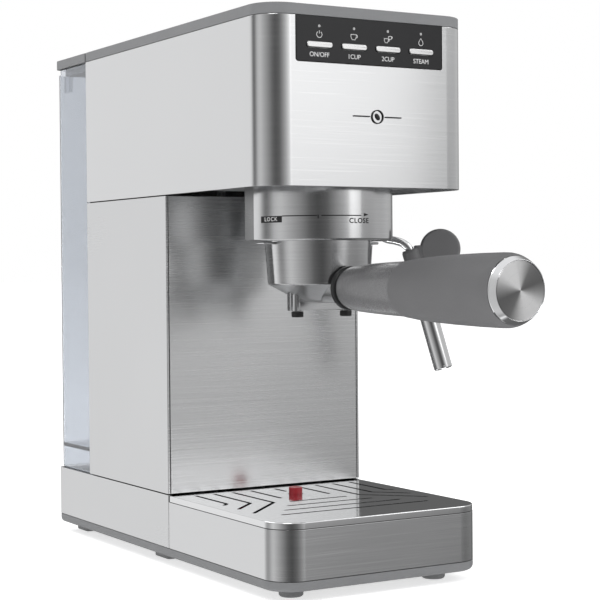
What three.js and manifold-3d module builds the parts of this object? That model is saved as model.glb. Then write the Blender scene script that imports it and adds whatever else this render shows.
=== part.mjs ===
// Slim home espresso machine with drip tray, portafilter, steam wand and rear water tank.
// Millimetres, +Z up, front towards -Y. While it is built, x = 0 is the middle plane,
// y = 0 the front face of the column and z = 0 the worktop.

import * as THREE from 'three';
import { mergeVertices } from 'three/addons/utils/BufferGeometryUtils.js';
import Module from 'manifold-3d';

const wasm = await Module();
wasm.setup();

// Clearances and wall thicknesses
const GAP = 0.3;              // air left between pieces that touch
const SHEET = 1.5;            // steel panels
const WALL = 1.8;             // moulded walls

// The whole machine
const BODY_WIDTH = 140;
const BODY_HEIGHT = 332;
const REAR_Y = 175.8;         // back of the tank
const TANK_Y = 122.2;         // back of the column, where the tank starts
const TRAY_REACH = 136.3;     // tray ahead of the column face
const HEAD_REACH = 124.7;     // head ahead of the column face
const CORNER_R = 17.5;        // upright front corners of tray and head
const FOOT_H = 6.2;
const PAN_TOP = 12;
const SKIRT_TOP = 45.4;
const HEAD_HEIGHT = 95.6;     // steel part of the head
const CAP_BAND = 6.2;         // moulded band of the top cover and the tank lid

// Brew group and portafilter
const GROUP_Y = -65.8;
const COLLAR_R = 44.5;
const SHOULDER = 19.4;         // how far the collar's sides run straight back from its axis
const CUP_R = 32.4;           // outside of the filter holder at its rim
const LUG_REACH = 4.8;        // bayonet lugs beyond the holder's wall
const LUG_ANGLE = 34;
const UNLOCK_ANGLE = -45;     // the holder's turn that lets its lugs drop out
const HANDLE_R = 19.3;
const HANDLE_END = 259.6;     // handle end ahead of the column face

const GRIP_START = 163;       // where the glossy neck ends and the matt grip begins
const CAP_REACH = 4.6;        // bright cap beyond the grip
const OUTLET_X = 17;          // the two outlets, from the middle
const OUTLET_R = 6.3;
const NOZZLE_R = 3.6;

// Control panel
const PANEL_HALF = BODY_WIDTH / 2 - 20.5;
const PANEL_HEIGHT = 25.7;
const BUTTON_PITCH = 23;
const BUTTON_W = 16.8;
const BUTTON_H = 3.2;
const LED_R = 1;

// Slots of the drip grate
const SLOT_W = 2.4;
const SLOT_PITCH = 13;
const SLOT_START = -10.5;     // rear ends, ahead of the column face
const SLOT_EDGE = 10;         // plain edge at the sides
const SLOT_RUN = 38.9;        // straight run of the outermost slots, before they lean out
const CROSS_ROWS = 4;
const CROSS_PITCH = 14.2;

// Float in the drip tray
const FLOAT_Y = -36;
const FLOAT_R = 4.2;
const FLOAT_RISE = 4.3;       // its top above the grate when the tray is empty

// Feet, from the sides and from the back
const FOOT_INSET = 18;
const FRONT_FOOT_R = 7.2;

// Water tank
const TANK_INSET = 1.2;       // tank behind the faces of column and lid
const TANK_FLOOR = 14.7;      // its floor above its lower edge
const OUTLET_NOSE_R = 10.5;
const HINGE_R = 2.6;
const PIN_R = 1.3;

// Steam wand and knob
const PIPE_R = 2.5;
const WAND_TURN = -30.7;      // direction the wand points at rest, from +X
const WAND_LEAN = 15.3;       // its straight part, from upright
const SLEEVE_START = 30;
const SLEEVE_LENGTH = 45;
const SLEEVE_R = 5.8;
const PADDLE_R = 12.6;
const KNOB_R = 18;

const HALF = BODY_WIDTH / 2;
const CAP_Z = BODY_HEIGHT - CAP_BAND;
const HEAD_Z = CAP_Z - HEAD_HEIGHT;
const GRATE_Z = SKIRT_TOP - 0.5;
const GRATE_RIM = 3.7;
const COLLAR_Z = HEAD_Z - 29.4;
const LEDGE_Z = COLLAR_Z + 4;            // where the bayonet lugs rest
const RIM_Z = LEDGE_Z + 3.9;             // rim of the filter holder
const FLANGE_Z = RIM_Z + 0.8;            // top of the basket's flange on that rim
const HANDLE_Z = HEAD_Z - 57.4;
const BOILER_R = COLLAR_R - 8.5;
const VALVE_FOOT = SKIRT_TOP - 13.7;     // lower end of the tank valve's stem
const BAR = { x: COLLAR_R + 7.5, y: GROUP_Y + 15.8 };   // where the wand's pipe enters the head
const KNOB_Z = HEAD_Z + 44.8;

const group = new THREE.Group();
group.name = 'espresso_machine';

// ---- Solids -------------------------------------------------------------

function solid(geometry) {
  geometry.deleteAttribute('normal');
  geometry.deleteAttribute('uv');
  const merged = mergeVertices(geometry, 1e-4);
  const faces = [];
  for (let i = 0; i < merged.index.count; i += 3) {
    const [a, b, c] = [0, 1, 2].map((k) => merged.index.getX(i + k));
    if (a !== b && b !== c && c !== a) faces.push(a, b, c);
  }
  const build = (triangles) => new wasm.Manifold(new wasm.Mesh({
    numProp: 3,
    vertProperties: new Float32Array(merged.attributes.position.array),
    triVerts: new Uint32Array(triangles),
  }));
  const body = build(faces);
  return body.volume() > 0 ? body : build(faces.reverse());
}

const join = (first, ...others) => others.reduce((body, other) => body.add(other), first);
const cut = (first, ...others) => others.reduce((body, other) => body.subtract(other), first);

function box(x0, x1, y0, y1, z0, z1) {
  const geometry = new THREE.BoxGeometry(x1 - x0, y1 - y0, z1 - z0);
  return solid(geometry.translate((x0 + x1) / 2, (y0 + y1) / 2, (z0 + z1) / 2));
}

// Upright cylinder.
function post(x, y, r, z0, z1, sides = 24) {
  const geometry = new THREE.CylinderGeometry(r, r, z1 - z0, sides).rotateX(Math.PI / 2);
  return solid(geometry.translate(x, y, (z0 + z1) / 2));
}

// Cylinder along X or Y.
function rodX(x0, x1, y, z, r, sides = 24) {
  const geometry = new THREE.CylinderGeometry(r, r, x1 - x0, sides).rotateZ(Math.PI / 2);
  return solid(geometry.translate((x0 + x1) / 2, y, z));
}

function rodY(y0, y1, x, z, r, sides = 24) {
  return solid(new THREE.CylinderGeometry(r, r, y1 - y0, sides).translate(x, (y0 + y1) / 2, z));
}

// Body of revolution about the upright axis through (x, y); the profile is [radius, height].
function turned(profile, x, y, sides = 40) {
  const points = profile.map(([r, z]) => new THREE.Vector2(r, z));
  return solid(new THREE.LatheGeometry(points, sides).rotateX(Math.PI / 2).translate(x, y, 0));
}

// The same about an axis that runs forward; the profile is [radius, distance ahead].
function turnedForward(profile, x, z, sides = 32) {
  const points = profile.map(([r, ahead]) => new THREE.Vector2(r, -ahead));
  return solid(new THREE.LatheGeometry(points, sides).translate(x, 0, z));
}

function prism(shape, z0, z1, curveSegments = 7) {
  const geometry = new THREE.ExtrudeGeometry(shape, {
    depth: z1 - z0, bevelEnabled: false, curveSegments,
  });
  return solid(geometry.translate(0, 0, z0));
}

function tube(points, r, sides = 4, steps = 16) {
  const ring = new THREE.Shape().absarc(0, 0, r, 0, 2 * Math.PI);
  const path = new THREE.CatmullRomCurve3(
    points.map((p) => new THREE.Vector3(...p)), false, 'centripetal');
  return solid(new THREE.ExtrudeGeometry(ring, {
    extrudePath: path, steps, bevelEnabled: false, curveSegments: sides,
  }));
}

// ---- Outlines -----------------------------------------------------------

// Plan of the body: square at the back, two rounded corners at the front.
function bodyPlan(half, front, back, r) {
  const shape = new THREE.Shape();
  shape.moveTo(-half, back);
  shape.lineTo(-half, front + r);
  shape.absarc(-half + r, front + r, r, Math.PI, 1.5 * Math.PI);
  shape.lineTo(half - r, front);
  shape.absarc(half - r, front + r, r, 1.5 * Math.PI, 2 * Math.PI);
  shape.lineTo(half, back);
  shape.closePath();
  return shape;
}

// Plan of a straight slot or rounded bar between two points.
function slotPlan([x0, y0], [x1, y1], width) {
  const along = Math.atan2(y1 - y0, x1 - x0);
  const r = width / 2;
  const shape = new THREE.Shape();
  shape.absarc(x1, y1, r, along - Math.PI / 2, along + Math.PI / 2);
  shape.absarc(x0, y0, r, along + Math.PI / 2, along + 1.5 * Math.PI);
  shape.closePath();
  return shape;
}

// Rounded bar facing forward: its plan is in X and Z and it runs from y0 to y1.
function pill(x, z, width, height, y0, y1) {
  const reach = (width - height) / 2;
  const bar = prism(slotPlan([-reach, 0], [reach, 0], height), 0, y1 - y0, 4);
  return bar.rotate([90, 0, 0]).translate([x, y1, z]);
}

// ---- Finishes and nodes -------------------------------------------------

const FINISH = {
  steel: { color: 0xb9bbbd, roughness: 0.38, metalness: 1.0 },
  panel: { color: 0xcdcfd1, roughness: 0.5, metalness: 0.8 },
  mirror: { color: 0xe4e5e6, roughness: 0.12, metalness: 1.0 },
  satin: { color: 0xa9abad, roughness: 0.32, metalness: 1.0 },
  brass: { color: 0xb58d4a, roughness: 0.4, metalness: 1.0 },
  grey: { color: 0x8a8b8d, roughness: 0.55, metalness: 0.0 },
  grip: { color: 0x69696b, roughness: 0.5, metalness: 0.0 },
  dark: { color: 0x2b2b2d, roughness: 0.3, metalness: 0.0 },
  rubber: { color: 0x1c1c1d, roughness: 0.75, metalness: 0.0 },
  red: { color: 0xa83038, roughness: 0.4, metalness: 0.0 },
  board: { color: 0x2f6b46, roughness: 0.6, metalness: 0.0 },
  hose: { color: 0xdadcdc, roughness: 0.4, metalness: 0.0 },
  clear: { color: 0xc6ccd4, roughness: 0.08, metalness: 0.0, transparent: true, opacity: 0.4 },
};

function piece(name, body, finish) {
  const { vertProperties, triVerts } = body.getMesh();
  const geometry = new THREE.BufferGeometry();
  geometry.setAttribute('position', new THREE.BufferAttribute(vertProperties, 3));
  geometry.setIndex(new THREE.BufferAttribute(triVerts, 1));
  geometry.computeVertexNormals();
  const mesh = new THREE.Mesh(geometry, new THREE.MeshStandardMaterial(FINISH[finish]));
  mesh.name = name;
  group.add(mesh);
}

// ---- Base ---------------------------------------------------------------

// Moulded pan: the strip seen under the steel, ribbed below, with bosses for the feet.
function basePan(feet) {
  const lip = 2.4;
  const outline = (inset) => bodyPlan(HALF - inset, -TRAY_REACH + inset, REAR_Y - inset,
    CORNER_R - inset);
  const body = join(
    prism(outline(0), FOOT_H + lip, PAN_TOP),
    prism(outline(lip / 3), FOOT_H + lip / 3, PAN_TOP - 1),
    prism(outline(lip), FOOT_H, PAN_TOP - 1),
  );
  const rib = 3;
  const inner = HALF - 7;
  const cells = [];
  const rows = 5;
  const pitch = (REAR_Y + TRAY_REACH - 2 * CORNER_R) / rows;
  for (let row = 0; row < rows; row += 1) {
    const y0 = -TRAY_REACH + CORNER_R + row * pitch;
    for (const side of [-1, 1]) {
      const x = [side * rib, side * inner].sort((a, b) => a - b);
      cells.push(box(x[0], x[1], y0 + rib, y0 + pitch - rib, FOOT_H - 1, PAN_TOP - 2.6));
    }
  }
  const bosses = feet.map(({ x, y, w, d }) => box(x - w / 2 - 2, x + w / 2 + 2,
    y - d / 2 - 2, y + d / 2 + 2, FOOT_H, PAN_TOP - 1));
  return join(cut(body, ...cells), ...bosses);
}

// Four sheets around the machine's base; the splash panel and the tank deck close it.
function skirtSide(side) {
  const x = [side * HALF, side * (HALF - SHEET)].sort((a, b) => a - b);
  return box(x[0], x[1], 0, REAR_Y, PAN_TOP + GAP, SKIRT_TOP - GAP);
}

function base() {
  const front = { y: -TRAY_REACH + 23, w: 2 * FRONT_FOOT_R, d: 2 * FRONT_FOOT_R, round: true };
  const middle = { y: 36, w: 12, d: 20 };
  const rear = { y: REAR_Y - 11, w: 12, d: 18 };
  const feet = [
    { name: 'foot_front_left', x: -HALF + FOOT_INSET + 3, ...front },
    { name: 'foot_front_right', x: HALF - FOOT_INSET - 3, ...front },
    { name: 'foot_middle_left', x: -HALF + FOOT_INSET, ...middle },
    { name: 'foot_middle_right', x: HALF - FOOT_INSET, ...middle },
    { name: 'foot_rear_left', x: -HALF + FOOT_INSET, ...rear },
    { name: 'foot_rear_right', x: HALF - FOOT_INSET, ...rear },
  ];
  for (const { name, x, y, w, d, round } of feet) {
    const top = FOOT_H - GAP;
    const pad = round
      ? post(x, y, w / 2, 0, top, 28)
      : box(x - w / 2, x + w / 2, y - d / 2, y + d / 2, 0, top);
    piece(name, pad, 'grey');
  }
  piece('base_pan', basePan(feet), 'grey');
  piece('skirt_left', skirtSide(-1), 'panel');
  piece('skirt_right', skirtSide(1), 'panel');

  const inner = HALF - SHEET - GAP;
  const cord = { x: -HALF / 2, z: PAN_TOP + 14, r: 5.2 };
  piece('skirt_back', cut(
    box(-inner, inner, REAR_Y - SHEET, REAR_Y, PAN_TOP + GAP, SKIRT_TOP - GAP),
    rodY(REAR_Y - SHEET - 1, REAR_Y + 1, cord.x, cord.z, cord.r),
  ), 'panel');
  const gland = turnedForward([
    [3.2, -REAR_Y - 1.2], [7, -REAR_Y - 1.2], [7, -REAR_Y - GAP], [cord.r - GAP, -REAR_Y - GAP],
    [cord.r - GAP, 7 - REAR_Y], [3.2, 7 - REAR_Y], [3.2, -REAR_Y - 1.2],
  ], cord.x, cord.z, 20);
  piece('cord_gland', gland, 'rubber');

  // Deck that carries the tank, with the socket its outlet drops into.
  const mid = (TANK_Y + REAR_Y) / 2;
  const deck = box(-inner, inner, TANK_Y + GAP, REAR_Y - SHEET - GAP,
    SKIRT_TOP - 2.5, SKIRT_TOP - GAP);
  const socket = post(0, mid, OUTLET_NOSE_R + 4.5, PAN_TOP + 8, SKIRT_TOP - GAP, 24);
  const spigot = rodY(mid - 24, mid - 10, 0, PAN_TOP + 13, 4, 16);
  piece('tank_deck', join(
    cut(join(deck, socket, spigot), post(0, mid, OUTLET_NOSE_R + 1.5, PAN_TOP + 10, SKIRT_TOP + 1, 24)),
    post(0, mid, 2.6, PAN_TOP + 9, VALVE_FOOT - GAP, 10),
  ), 'grey');
}

// ---- Column -------------------------------------------------------------

function column() {
  const bottom = SKIRT_TOP + GAP;
  const top = HEAD_Z - GAP;
  const back = TANK_Y - GAP;
  for (const [name, side] of [['column_left', -1], ['column_right', 1]]) {
    const x = [side * HALF, side * (HALF - SHEET)].sort((a, b) => a - b);
    piece(name, box(x[0], x[1], 0, back, bottom, top), 'panel');
  }
  const inner = HALF - SHEET - GAP;
  piece('splash_panel', box(-inner, inner, 0, SHEET, bottom, top), 'steel');
  piece('back_wall', box(-inner, inner, back - 2, back, bottom, CAP_Z - GAP), 'grey');
}

// ---- Head ---------------------------------------------------------------

function head() {
  const z0 = HEAD_Z + GAP;
  const z1 = CAP_Z - GAP;
  const back = TANK_Y - GAP;
  const front = -HEAD_REACH;
  const wrap = cut(
    prism(bodyPlan(HALF, front, back, CORNER_R), z0, z1),
    prism(bodyPlan(HALF - SHEET, front + SHEET, back + 1, CORNER_R - SHEET), z0 - 1, z1 + 1),
  );
  const window_ = box(-PANEL_HALF - GAP, PANEL_HALF + GAP, front - 1, front + SHEET + 1,
    CAP_Z - PANEL_HEIGHT - GAP, CAP_Z + 1);
  const knobHole = rodX(HALF - SHEET - 1, HALF + 1, BAR.y, KNOB_Z, 6.5);
  piece('head_shell', cut(wrap, window_, knobHole), 'steel');

  const inset = SHEET + GAP;
  const floor = prism(bodyPlan(HALF - inset, front + inset, -GAP, CORNER_R - inset),
    z0, HEAD_Z + 3);
  piece('head_floor', cut(floor,
    post(0, GROUP_Y, COLLAR_R - 9.3, HEAD_Z - 1, HEAD_Z + 4, 40),
    post(BAR.x, BAR.y, PIPE_R + GAP + 0.2, HEAD_Z - 1, HEAD_Z + 4, 16)), 'grey');

  // Moulded cover with a shallow recess for the cup plate, hollow below.
  const coverBack = back - 0.6;
  const cover = cut(
    prism(bodyPlan(HALF, front, coverBack, CORNER_R), CAP_Z, BODY_HEIGHT),
    prism(bodyPlan(HALF - WALL, front + WALL, coverBack - WALL, CORNER_R - WALL),
      CAP_Z - 1, BODY_HEIGHT - 4),
    prism(bodyPlan(HALF - 9, front + 10, coverBack - 9, CORNER_R - 8),
      BODY_HEIGHT - 2, BODY_HEIGHT + 1),
  );
  piece('top_cover', cover, 'grey');
  piece('cup_plate', prism(bodyPlan(HALF - 9 - GAP, front + 10 + GAP, coverBack - 9 - GAP,
    CORNER_R - 8 - GAP), BODY_HEIGHT - 2 + GAP, BODY_HEIGHT), 'steel');
  controls(front);
}

function controls(front) {
  const face = front - 0.2;
  const z1 = CAP_Z - GAP;
  const z0 = CAP_Z - PANEL_HEIGHT;
  const buttonZ = z0 + 9.5;
  const ledZ = z0 + 19.9;
  const names = ['button_power', 'button_one_cup', 'button_two_cup', 'button_steam'];
  const places = names.map((_, i) => (i - 1.5) * BUTTON_PITCH);
  const hole = 0.35;
  const panelBack = face + 2.6;
  piece('control_panel', cut(
    box(-PANEL_HALF, PANEL_HALF, face, panelBack, z0, z1),
    ...places.map((x) => pill(x, buttonZ, BUTTON_W + 2 * hole, BUTTON_H + 2 * hole,
      face - 1, panelBack + 1)),
    ...places.map((x) => rodY(face - 1, panelBack + 1, x, ledZ, LED_R + hole, 12)),
  ), 'dark');

  // Buttons stop against the panel with a flange and press on the switch board behind.
  const board = panelBack + 5.4;
  const travel = 1.2;
  names.forEach((name, i) => piece(name, join(
    pill(places[i], buttonZ, BUTTON_W, BUTTON_H, face - 0.8, panelBack + 1),
    pill(places[i], buttonZ, BUTTON_W + 2, BUTTON_H + 2, panelBack + 0.4, panelBack + 1.6),
    rodY(panelBack + 1.4, board - travel - GAP, places[i], buttonZ, 1.5, 12),
  ), 'satin'));

  const rail = box(places[0] - 4, places[3] + 4, panelBack + GAP, panelBack + 2,
    ledZ - 1.6, ledZ + 1.6);
  piece('light_guide', join(rail, ...places.map((x) => rodY(face - 0.1, panelBack + 1,
    x, ledZ, LED_R, 12))), 'clear');
  piece('control_board', box(-PANEL_HALF + 4, PANEL_HALF - 4, board, board + 1.6,
    z0 + 2, z1 - 2), 'board');

  // Plain emblem on the head: a small disc between two thin bars.
  const mark = { x: 4, z: HEAD_Z + 40.6, y: front - GAP, t: 0.7 };
  piece('badge', join(
    rodY(mark.y - mark.t, mark.y, mark.x, mark.z, 4, 24),
    box(mark.x - 16.5, mark.x + 16.5, mark.y - mark.t, mark.y, mark.z - 0.6, mark.z + 0.6),
  ), 'dark');
}

// ---- Brew group ---------------------------------------------------------

function brewGroup() {
  const top = HEAD_Z - GAP;
  const lip = CUP_R + 1.2;
  const groove = CUP_R + LUG_REACH + 1;
  const collar = turned([
    [lip, COLLAR_Z], [COLLAR_R - 0.8, COLLAR_Z], [COLLAR_R, COLLAR_Z + 0.8], [COLLAR_R, top],
    [COLLAR_R - 9, top], [COLLAR_R - 9, LEDGE_Z + 8], [groove, LEDGE_Z + 8], [groove, LEDGE_Z],
    [lip, LEDGE_Z], [lip, COLLAR_Z],
  ], 0, GROUP_Y);
  // Two gates in the lip let the lugs in.
  const gates = lugs(groove, LUG_ANGLE + 5, COLLAR_Z - 1, LEDGE_Z + 1)
    .translate([0, -GROUP_Y, 0]).rotate([0, 0, UNLOCK_ANGLE]).translate([0, GROUP_Y, 0]);
  const shoulders = cut(
    box(-COLLAR_R, COLLAR_R, GROUP_Y, GROUP_Y + SHOULDER, COLLAR_Z + 0.8, top),
    post(0, GROUP_Y, COLLAR_R - 1, COLLAR_Z, top + 1, 64),
  );
  piece('group_collar', join(cut(collar, gates), shoulders), 'satin');

  // Brass head above the seal, with the water way down its middle.
  const seat = LEDGE_Z + 8.2;
  piece('group_head', turned([
    [2.6, seat + 3], [28, seat + 3], [28, seat], [COLLAR_R - 9.8, seat],
    [COLLAR_R - 9.8, HEAD_Z + 12], [14, HEAD_Z + 18], [2.6, HEAD_Z + 18], [2.6, seat + 3],
  ], 0, GROUP_Y, 32), 'brass');
  piece('group_gasket', turned([
    [28.6, FLANGE_Z + GAP], [CUP_R + 0.8, FLANGE_Z + GAP], [CUP_R + 0.8, seat - GAP],
    [28.6, seat - GAP], [28.6, FLANGE_Z + GAP],
  ], 0, GROUP_Y, 32), 'rubber');
  // Perforated plate that spreads the water, with the head of its screw.
  const holes = [];
  for (let i = 0; i < 8; i += 1) {
    const a = (2 * Math.PI * i) / 8;
    holes.push(post(19 * Math.cos(a), GROUP_Y + 19 * Math.sin(a), 1, seat - 3, seat + 3, 6));
  }
  const plate = join(post(0, GROUP_Y, 27.4, seat - 1.4, seat + 2.6, 32),
    post(0, GROUP_Y, 4, seat - 2.8, seat, 6));
  piece('shower_screen', cut(plate, post(0, GROUP_Y, 24, seat, seat + 3, 32), ...holes), 'satin');

  const boiler = turned([
    [0, HEAD_Z + 18.4], [BOILER_R - 6, HEAD_Z + 18.4], [BOILER_R, HEAD_Z + 24],
    [BOILER_R, HEAD_Z + 54], [BOILER_R - 8, HEAD_Z + 62], [0, HEAD_Z + 62],
  ], 0, GROUP_Y, 36);
  const terminals = [-12, 12].map((x) => post(x, GROUP_Y, 3, HEAD_Z + 60, HEAD_Z + 72, 10));
  piece('boiler', join(boiler, ...terminals), 'satin');
}

// Pair of bayonet lugs about the group's axis, each centred on the X axis.
function lugs(reach, angle, z0, z1) {
  const half = THREE.MathUtils.degToRad(angle / 2);
  const sector = (middle) => {
    const shape = new THREE.Shape();
    shape.moveTo(0, 0);
    shape.lineTo(reach * Math.cos(middle - half), reach * Math.sin(middle - half));
    shape.absarc(0, 0, reach, middle - half, middle + half);
    shape.closePath();
    return prism(shape, z0, z1, 8);
  };
  return join(sector(0), sector(Math.PI)).translate([0, GROUP_Y, 0]);
}

// ---- Water and steam ----------------------------------------------------

function waterWorks() {
  const y = TANK_Y / 2;
  const low = SKIRT_TOP + 29;
  const pump = join(
    post(0, y, 21, low, low + 62, 28), post(0, y, 26, low + 14, low + 46, 28),
    post(0, y, 3.5, low - 8, low + 72, 12),
  );
  piece('pump', pump, 'grey');
  const stand = join(
    box(-24, 24, y - 16, y + 16, PAN_TOP + GAP, PAN_TOP + 3),
    box(-24, -20, y - 16, y + 16, PAN_TOP + 1, low - GAP),
    box(20, 24, y - 16, y + 16, PAN_TOP + 1, low - GAP),
    box(-24, 24, y - 16, y + 16, low - 3, low - GAP),
  );
  piece('pump_bracket', cut(stand, post(0, y, 5, low - 4, low + 1, 16)), 'panel');

  const mid = (TANK_Y + REAR_Y) / 2;
  piece('suction_hose', tube([
    [0, mid - 24 - GAP, PAN_TOP + 13], [0, y + 26, PAN_TOP + 13], [0, y + 5, PAN_TOP + 17],
    [0, y, PAN_TOP + 28], [0, y, low - 8 - GAP],
  ], 3.5), 'hose');
  const start = low + 72 + GAP;
  const rise = HEAD_Z + 40;
  piece('pressure_hose', tube([
    [0, y, start], [0, y, start + (rise - start) * 0.6], [0, y - 12, rise - 6],
    [0, y - 34, rise], [0, GROUP_Y + BOILER_R + GAP, rise],
  ], 3), 'hose');

  // Steam valve on the right, its spindle out through the head to the knob.
  const { x, y: barY } = BAR;
  const feed = Math.sqrt(BOILER_R ** 2 - (barY - GROUP_Y - 3) ** 2) + GAP;
  const valveEnd = x + (HALF - SHEET - x) / 2 - 0.25;
  const valve = join(
    box(x - 9, valveEnd, barY - 9, barY + 9, KNOB_Z - 10, KNOB_Z + 10),
    rodX(feed, x - 8, barY, KNOB_Z, 3, 12),
  );
  const bore = rodX(x + 1, valveEnd + 1, barY, KNOB_Z, 2.8, 20);
  const outlet = post(x, barY, PIPE_R + 0.5, KNOB_Z - 11, KNOB_Z - 3, 16);
  piece('steam_valve', cut(valve, bore, outlet), 'brass');
  const knob = turned([
    [0, 4], [2.8, 4], [2.8, 0], [5.8, -2.2], [5.8, 1], [KNOB_R - 1, 1], [KNOB_R, 3],
    [KNOB_R - 1.2, 19], [KNOB_R - 4, 21], [0, 21],
  ], 0, 0, 32);
  const flutes = [];
  for (let i = 0; i < 8; i += 1) {
    const a = (2 * Math.PI * i) / 8;
    flutes.push(post((KNOB_R + 2.2) * Math.cos(a), (KNOB_R + 2.2) * Math.sin(a), 3.4, 5, 22, 8));
  }
  piece('steam_knob', cut(knob, ...flutes, post(0, 0, 2.8, -3, 12, 20))
    .rotate([0, 90, 0]).translate([HALF + GAP, barY, KNOB_Z]), 'grip');
  piece('valve_spindle', rodX(x + 2, HALF + 12 - GAP, barY, KNOB_Z, 2.5, 20), 'satin');
}

// ---- Steam wand ---------------------------------------------------------

// Built with its bend in the X-Z plane through the pipe's root, then turned to its direction.
function steamWand() {
  const top = KNOB_Z - 4;
  const bend = HEAD_Z - 37;
  const place = (body) => body.rotate([0, 0, WAND_TURN]).translate([BAR.x, BAR.y, 0]);
  // Straight part: its own axis upright, leaned out from the end of the bend.
  const straight = (body) => place(body.rotate([0, -WAND_LEAN, 0]).translate([21.8, 0, bend]));
  const a = THREE.MathUtils.degToRad(WAND_LEAN);
  const along = (t) => [21.8 + t * Math.sin(a), 0, bend - t * Math.cos(a)];
  const sleeveEnd = SLEEVE_START + SLEEVE_LENGTH;

  piece('steam_pipe', place(tube([
    [0, 0, top], [0, 0, HEAD_Z], [0, 0, HEAD_Z - 12], [0, 0, HEAD_Z - 19],
    [1.6, 0, HEAD_Z - 24.6],
    [6, 0, HEAD_Z - 27.6], [12, 0, HEAD_Z - 28.8], [17, 0, HEAD_Z - 30.8],
    along(-2), along(8), along(SLEEVE_START + 10), along(sleeveEnd - 6),
  ], PIPE_R, 6, 44)), 'mirror');
  const grip = cut(
    join(
      post(0, 0, 5.4, -SLEEVE_START, 2.5, 24),
      box(0, 14, -2.4, 2.4, -6, 6).rotate([0, 12, 0]),
      rodY(-2.5, 2.5, PADDLE_R + 5.7, -2.1, PADDLE_R, 40),
    ),
    post(0, 0, PIPE_R + GAP, -SLEEVE_START - 1, 30, 20),
  );
  piece('wand_grip', straight(grip), 'grip');
  const sleeve = cut(
    post(0, 0, SLEEVE_R, -sleeveEnd, -SLEEVE_START - GAP, 28),
    post(0, 0, PIPE_R + GAP, -sleeveEnd - 1, 0, 20),
    post(0, 0, SLEEVE_R - 1.2, -sleeveEnd - 1, -sleeveEnd + 5.4, 24),
    box(-1.4, 1.4, -7, 0, -sleeveEnd - 1, -sleeveEnd + 3),
  );
  piece('wand_sleeve', straight(sleeve), 'mirror');
  piece('pipe_nut', cut(post(BAR.x, BAR.y, 6.2, HEAD_Z - 8, HEAD_Z - GAP, 6),
    post(BAR.x, BAR.y, PIPE_R + GAP, HEAD_Z - 9, HEAD_Z, 20)), 'mirror');
}

// ---- Water tank ---------------------------------------------------------

function waterTank() {
  const half = HALF - TANK_INSET;
  const front = TANK_Y + TANK_INSET / 2;
  const back = REAR_Y - TANK_INSET;
  const bottom = SKIRT_TOP + GAP;
  const top = CAP_Z - 0.9;
  const floor = bottom + TANK_FLOOR;
  const mid = (TANK_Y + REAR_Y) / 2;
  const pivot = { y: back - HINGE_R - 1, z: CAP_Z + 1.2, r: HINGE_R };
  const relief = CAP_Z - 4;

  const shell = cut(
    box(-half, half, front, back, bottom, top),
    box(-half + WALL, half - WALL, front + WALL, back - WALL, floor + 2.2, top + 1),
    box(-half + WALL, half - WALL, front + WALL, back - WALL, bottom - 1, floor),
    box(-half - 1, half + 1, pivot.y - 2, back + 1, relief, top + 1),
  );
  // Outlet nose that drops into the deck, and two ears for the lid's pins. The ears reach the
  // pins from in front, because the lid's back wall swings down behind them.
  const nose = post(0, mid, OUTLET_NOSE_R, bottom - 12, floor + 1, 28);
  const ears = [-1, 1].map((side) => {
    const x = [side * 60, side * 63].sort((p, q) => p - q);
    const root = box(x[0], x[1], pivot.y - 6.4, back - 1, relief - 12, relief - GAP);
    const neck = box(x[0], x[1], pivot.y - 6.4, pivot.y - 2, relief - 1, pivot.z + 1.6);
    return join(root, neck, rodX(x[0], x[1], pivot.y, pivot.z, pivot.r, 16));
  });
  const pinHole = rodX(-64, 64, pivot.y, pivot.z, PIN_R + GAP, 16);
  const way = post(0, mid, 5, bottom - 13, floor + 4, 20);
  piece('water_tank', cut(join(shell, nose, ...ears), pinHole, way), 'clear');

  // Valve on its seat; the deck's pin stands just below its stem.
  piece('tank_valve', join(
    post(0, mid, OUTLET_NOSE_R - 2, floor + 2.2 + GAP, floor + 4.3, 24),
    post(0, mid, 2.6, VALVE_FOOT, floor + 3, 12),
  ), 'dark');

  const lidFront = front + 0.4;
  const under = BODY_HEIGHT - 2;
  const lid = cut(
    box(-HALF, HALF, lidFront, REAR_Y, CAP_Z, BODY_HEIGHT),
    box(-HALF + 1.6, HALF - 1.6, lidFront + 1.6, REAR_Y - 1.6, CAP_Z - 1, under),
  );
  const plugHalf = half - WALL - 0.8;
  const plugY = [front + WALL + 0.8, pivot.y - 7];
  const plug = cut(
    box(-plugHalf, plugHalf, plugY[0], plugY[1], CAP_Z - 5.3, under + 0.5),
    box(-plugHalf + 1.5, plugHalf - 1.5, plugY[0] + 1.5, plugY[1] - 1.5, CAP_Z - 7, under),
  );
  const lugsAndPins = [-1, 1].map((side) => {
    const x = [side * 56.5, side * 59.6].sort((p, q) => p - q);
    const pin = [side * 58, side * 62.7].sort((p, q) => p - q);
    return join(
      rodX(x[0], x[1], pivot.y, pivot.z, 2.4, 16),
      box(x[0], x[1], pivot.y - 2.4, pivot.y + 2.4, pivot.z, under + 0.5),
      rodX(pin[0], pin[1], pivot.y, pivot.z, PIN_R, 16),
    );
  });
  piece('tank_lid', join(lid, plug, ...lugsAndPins), 'grey');
}

// ---- Drip tray ----------------------------------------------------------

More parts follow.
